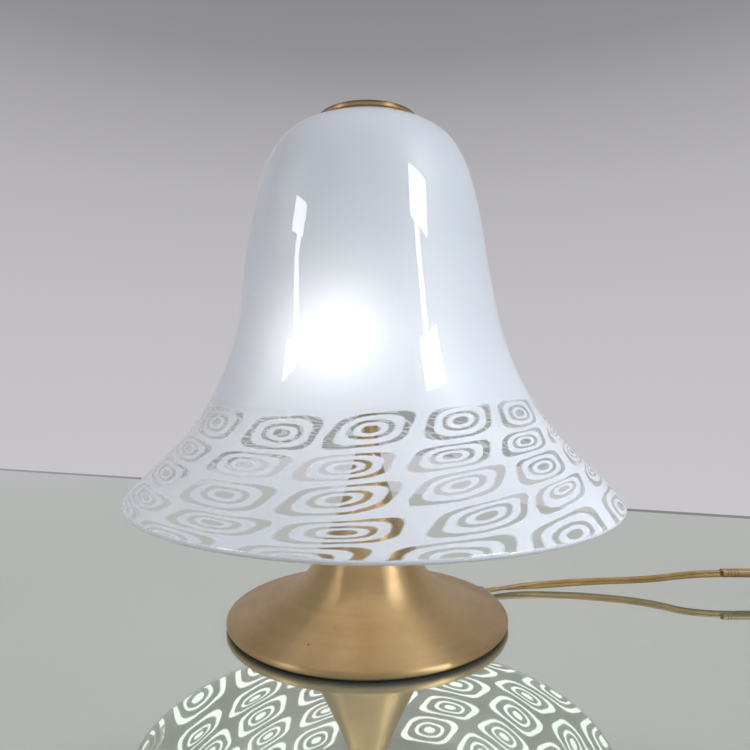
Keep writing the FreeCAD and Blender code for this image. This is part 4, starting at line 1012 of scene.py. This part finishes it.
def stage_table(colour):
    """Pale polished table top with a slanting far edge and its darker trim."""
    start_clean()
    bpy.ops.mesh.primitive_plane_add(size=1.0, location=(0, 0, 0))
    table = bpy.context.object
    table.name = "table_top"
    for i, (x, y) in zip((0, 1, 3, 2), TABLE):
        table.data.vertices[i].co = (x, y, -TABLE_UNDER_LAMP)
    bpy.ops.object.mode_set(mode="EDIT")
    bpy.ops.mesh.select_all(action="SELECT")
    bpy.ops.mesh.extrude_region_move(TRANSFORM_OT_translate={"value": (0, 0, -TABLE_THICKNESS)})
    turn_faces_outwards()
    material, tree = new_material("Table top")
    plus, minus, times = sums(tree, "ADD", "SUBTRACT", "MULTIPLY")
    spot = position(tree)
    cloud = add(tree, "TexNoise", Vector=spot, Scale=3.0, Detail=2.0)
    tone = blend_colours(tree, cloud.outputs["Fac"], tuple(colour), [c * 1.02 for c in colour])
    # The trim runs along the far edge and shows to the camera alone, not through the glass
    (right_x, right_y), (left_x, left_y) = TABLE[2:]
    slope = (right_y - left_y) / (right_x - left_x)
    x, y, _ = add(tree, "SeparateXYZ", Vector=spot).outputs
    short = minus(plus(times(x, slope), (left_y + right_y) / 2), y)
    camera = add(tree, "LightPath").outputs["Is Camera Ray"]
    trim = times(ramp(tree, short, 0.014, 0.018, 1.0, 0.0), camera)
    tone = blend_colours(tree, trim, tone, (0.17, 0.17, 0.17))
    shader = principled(tree, Base_Color=tone, Metallic=0.8, Roughness=0.02)
    table.data.materials.append(finished(material, shader))
    return table


def keep_off_table(table):
    """The lamps of the studio light the lamp but don't show as mirror images in the polished table."""
    group = bpy.data.collections.new("Lit by the studio lamps")
    group.objects.link(table)
    group.collection_objects[0].light_linking.link_state = "EXCLUDE"
    for lamp in bpy.context.scene.objects:
        if lamp.type == "LIGHT" and lamp.data.type == "AREA":
            lamp.light_linking.receiver_collection = group


class LAMP_OT_stage(bpy.types.Operator):
    """Set the camera, the table top, the soft boxes and the room light"""
    bl_idname = "lamp.stage"
    bl_label = "Stage"

    def execute(self, context):
        scene = context.scene
        eye = bpy.data.cameras.new("Camera")
        eye.lens, eye.sensor_width = CAMERA_LENS, CAMERA_SENSOR
        eye.clip_start = 0.01
        camera = bpy.data.objects.new("Camera", eye)
        scene.collection.objects.link(camera)
        camera.location = CAMERA_SPOT
        camera.rotation_euler = (math.radians(90 - CAMERA_DIP), 0, 0)
        scene.camera = camera
        scene.view_settings.view_transform = "Standard"
        stage_world(scene.lamp_stage.fill)
        table = stage_table(scene.lamp_stage.table_colour)
        key = scene.lamp_stage.key
        for name, (spot, low, high, width, radiance, colour, mirrored) in SOFT_BOXES.items():
            soft_box(name, spot, low, high, width, radiance * key, colour, mirrored)
        keep_off_table(table)
        for name, (towards, power) in FOOT_LIGHTS.items():
            foot_light(name, towards, power * key)
        lamp = new_lamp("Bulb light", "POINT", 0.30, (1.0, 0.93, 0.82))
        lamp.data.shadow_soft_size = 0.014
        lamp.location = (-0.0040, -0.0270, 0.228)
        lamp.visible_glossy = False
        return {"FINISHED"}


class LAMP_PT_panel(bpy.types.Panel):
    bl_label = "Bell Table Lamp"
    bl_idname = "LAMP_PT_panel"
    bl_space_type = "VIEW_3D"
    bl_region_type = "UI"
    bl_category = "Lamp"

    def draw(self, context):
        for operator in OPERATORS:
            self.layout.operator(operator.bl_idname)
        for name in SETTINGS:
            settings = getattr(context.scene, name)
            for key in settings.__annotations__:
                self.layout.prop(settings, key)


SETTINGS = {"lamp_shade": LampShadeSettings, "lamp_metal": LampMetalSettings, "lamp_flex": LampFlexSettings,
            "lamp_stage": LampStageSettings}
OPERATORS = (LAMP_OT_stage, LAMP_OT_flex, LAMP_OT_shade, LAMP_OT_metalwork, LAMP_OT_switch_and_plug)
CLASSES = (*SETTINGS.values(), *OPERATORS, LAMP_PT_panel)


def register():
    for item in CLASSES:
        bpy.utils.register_class(item)
    for name, settings in SETTINGS.items():
        setattr(bpy.types.Scene, name, PointerProperty(type=settings))


def unregister():
    for name in SETTINGS:
        delattr(bpy.types.Scene, name)
    for item in reversed(CLASSES):
        bpy.utils.unregister_class(item)


def main():
    register()
    make_materials(bpy.context.scene)
    bpy.ops.lamp.stage()
    bpy.ops.lamp.flex()
    bpy.ops.lamp.shade()
    bpy.ops.lamp.metalwork()
    bpy.ops.lamp.switch_and_plug()
    start_clean()
    bpy.context.view_layer.update()


if __name__ == "__main__":
    main()
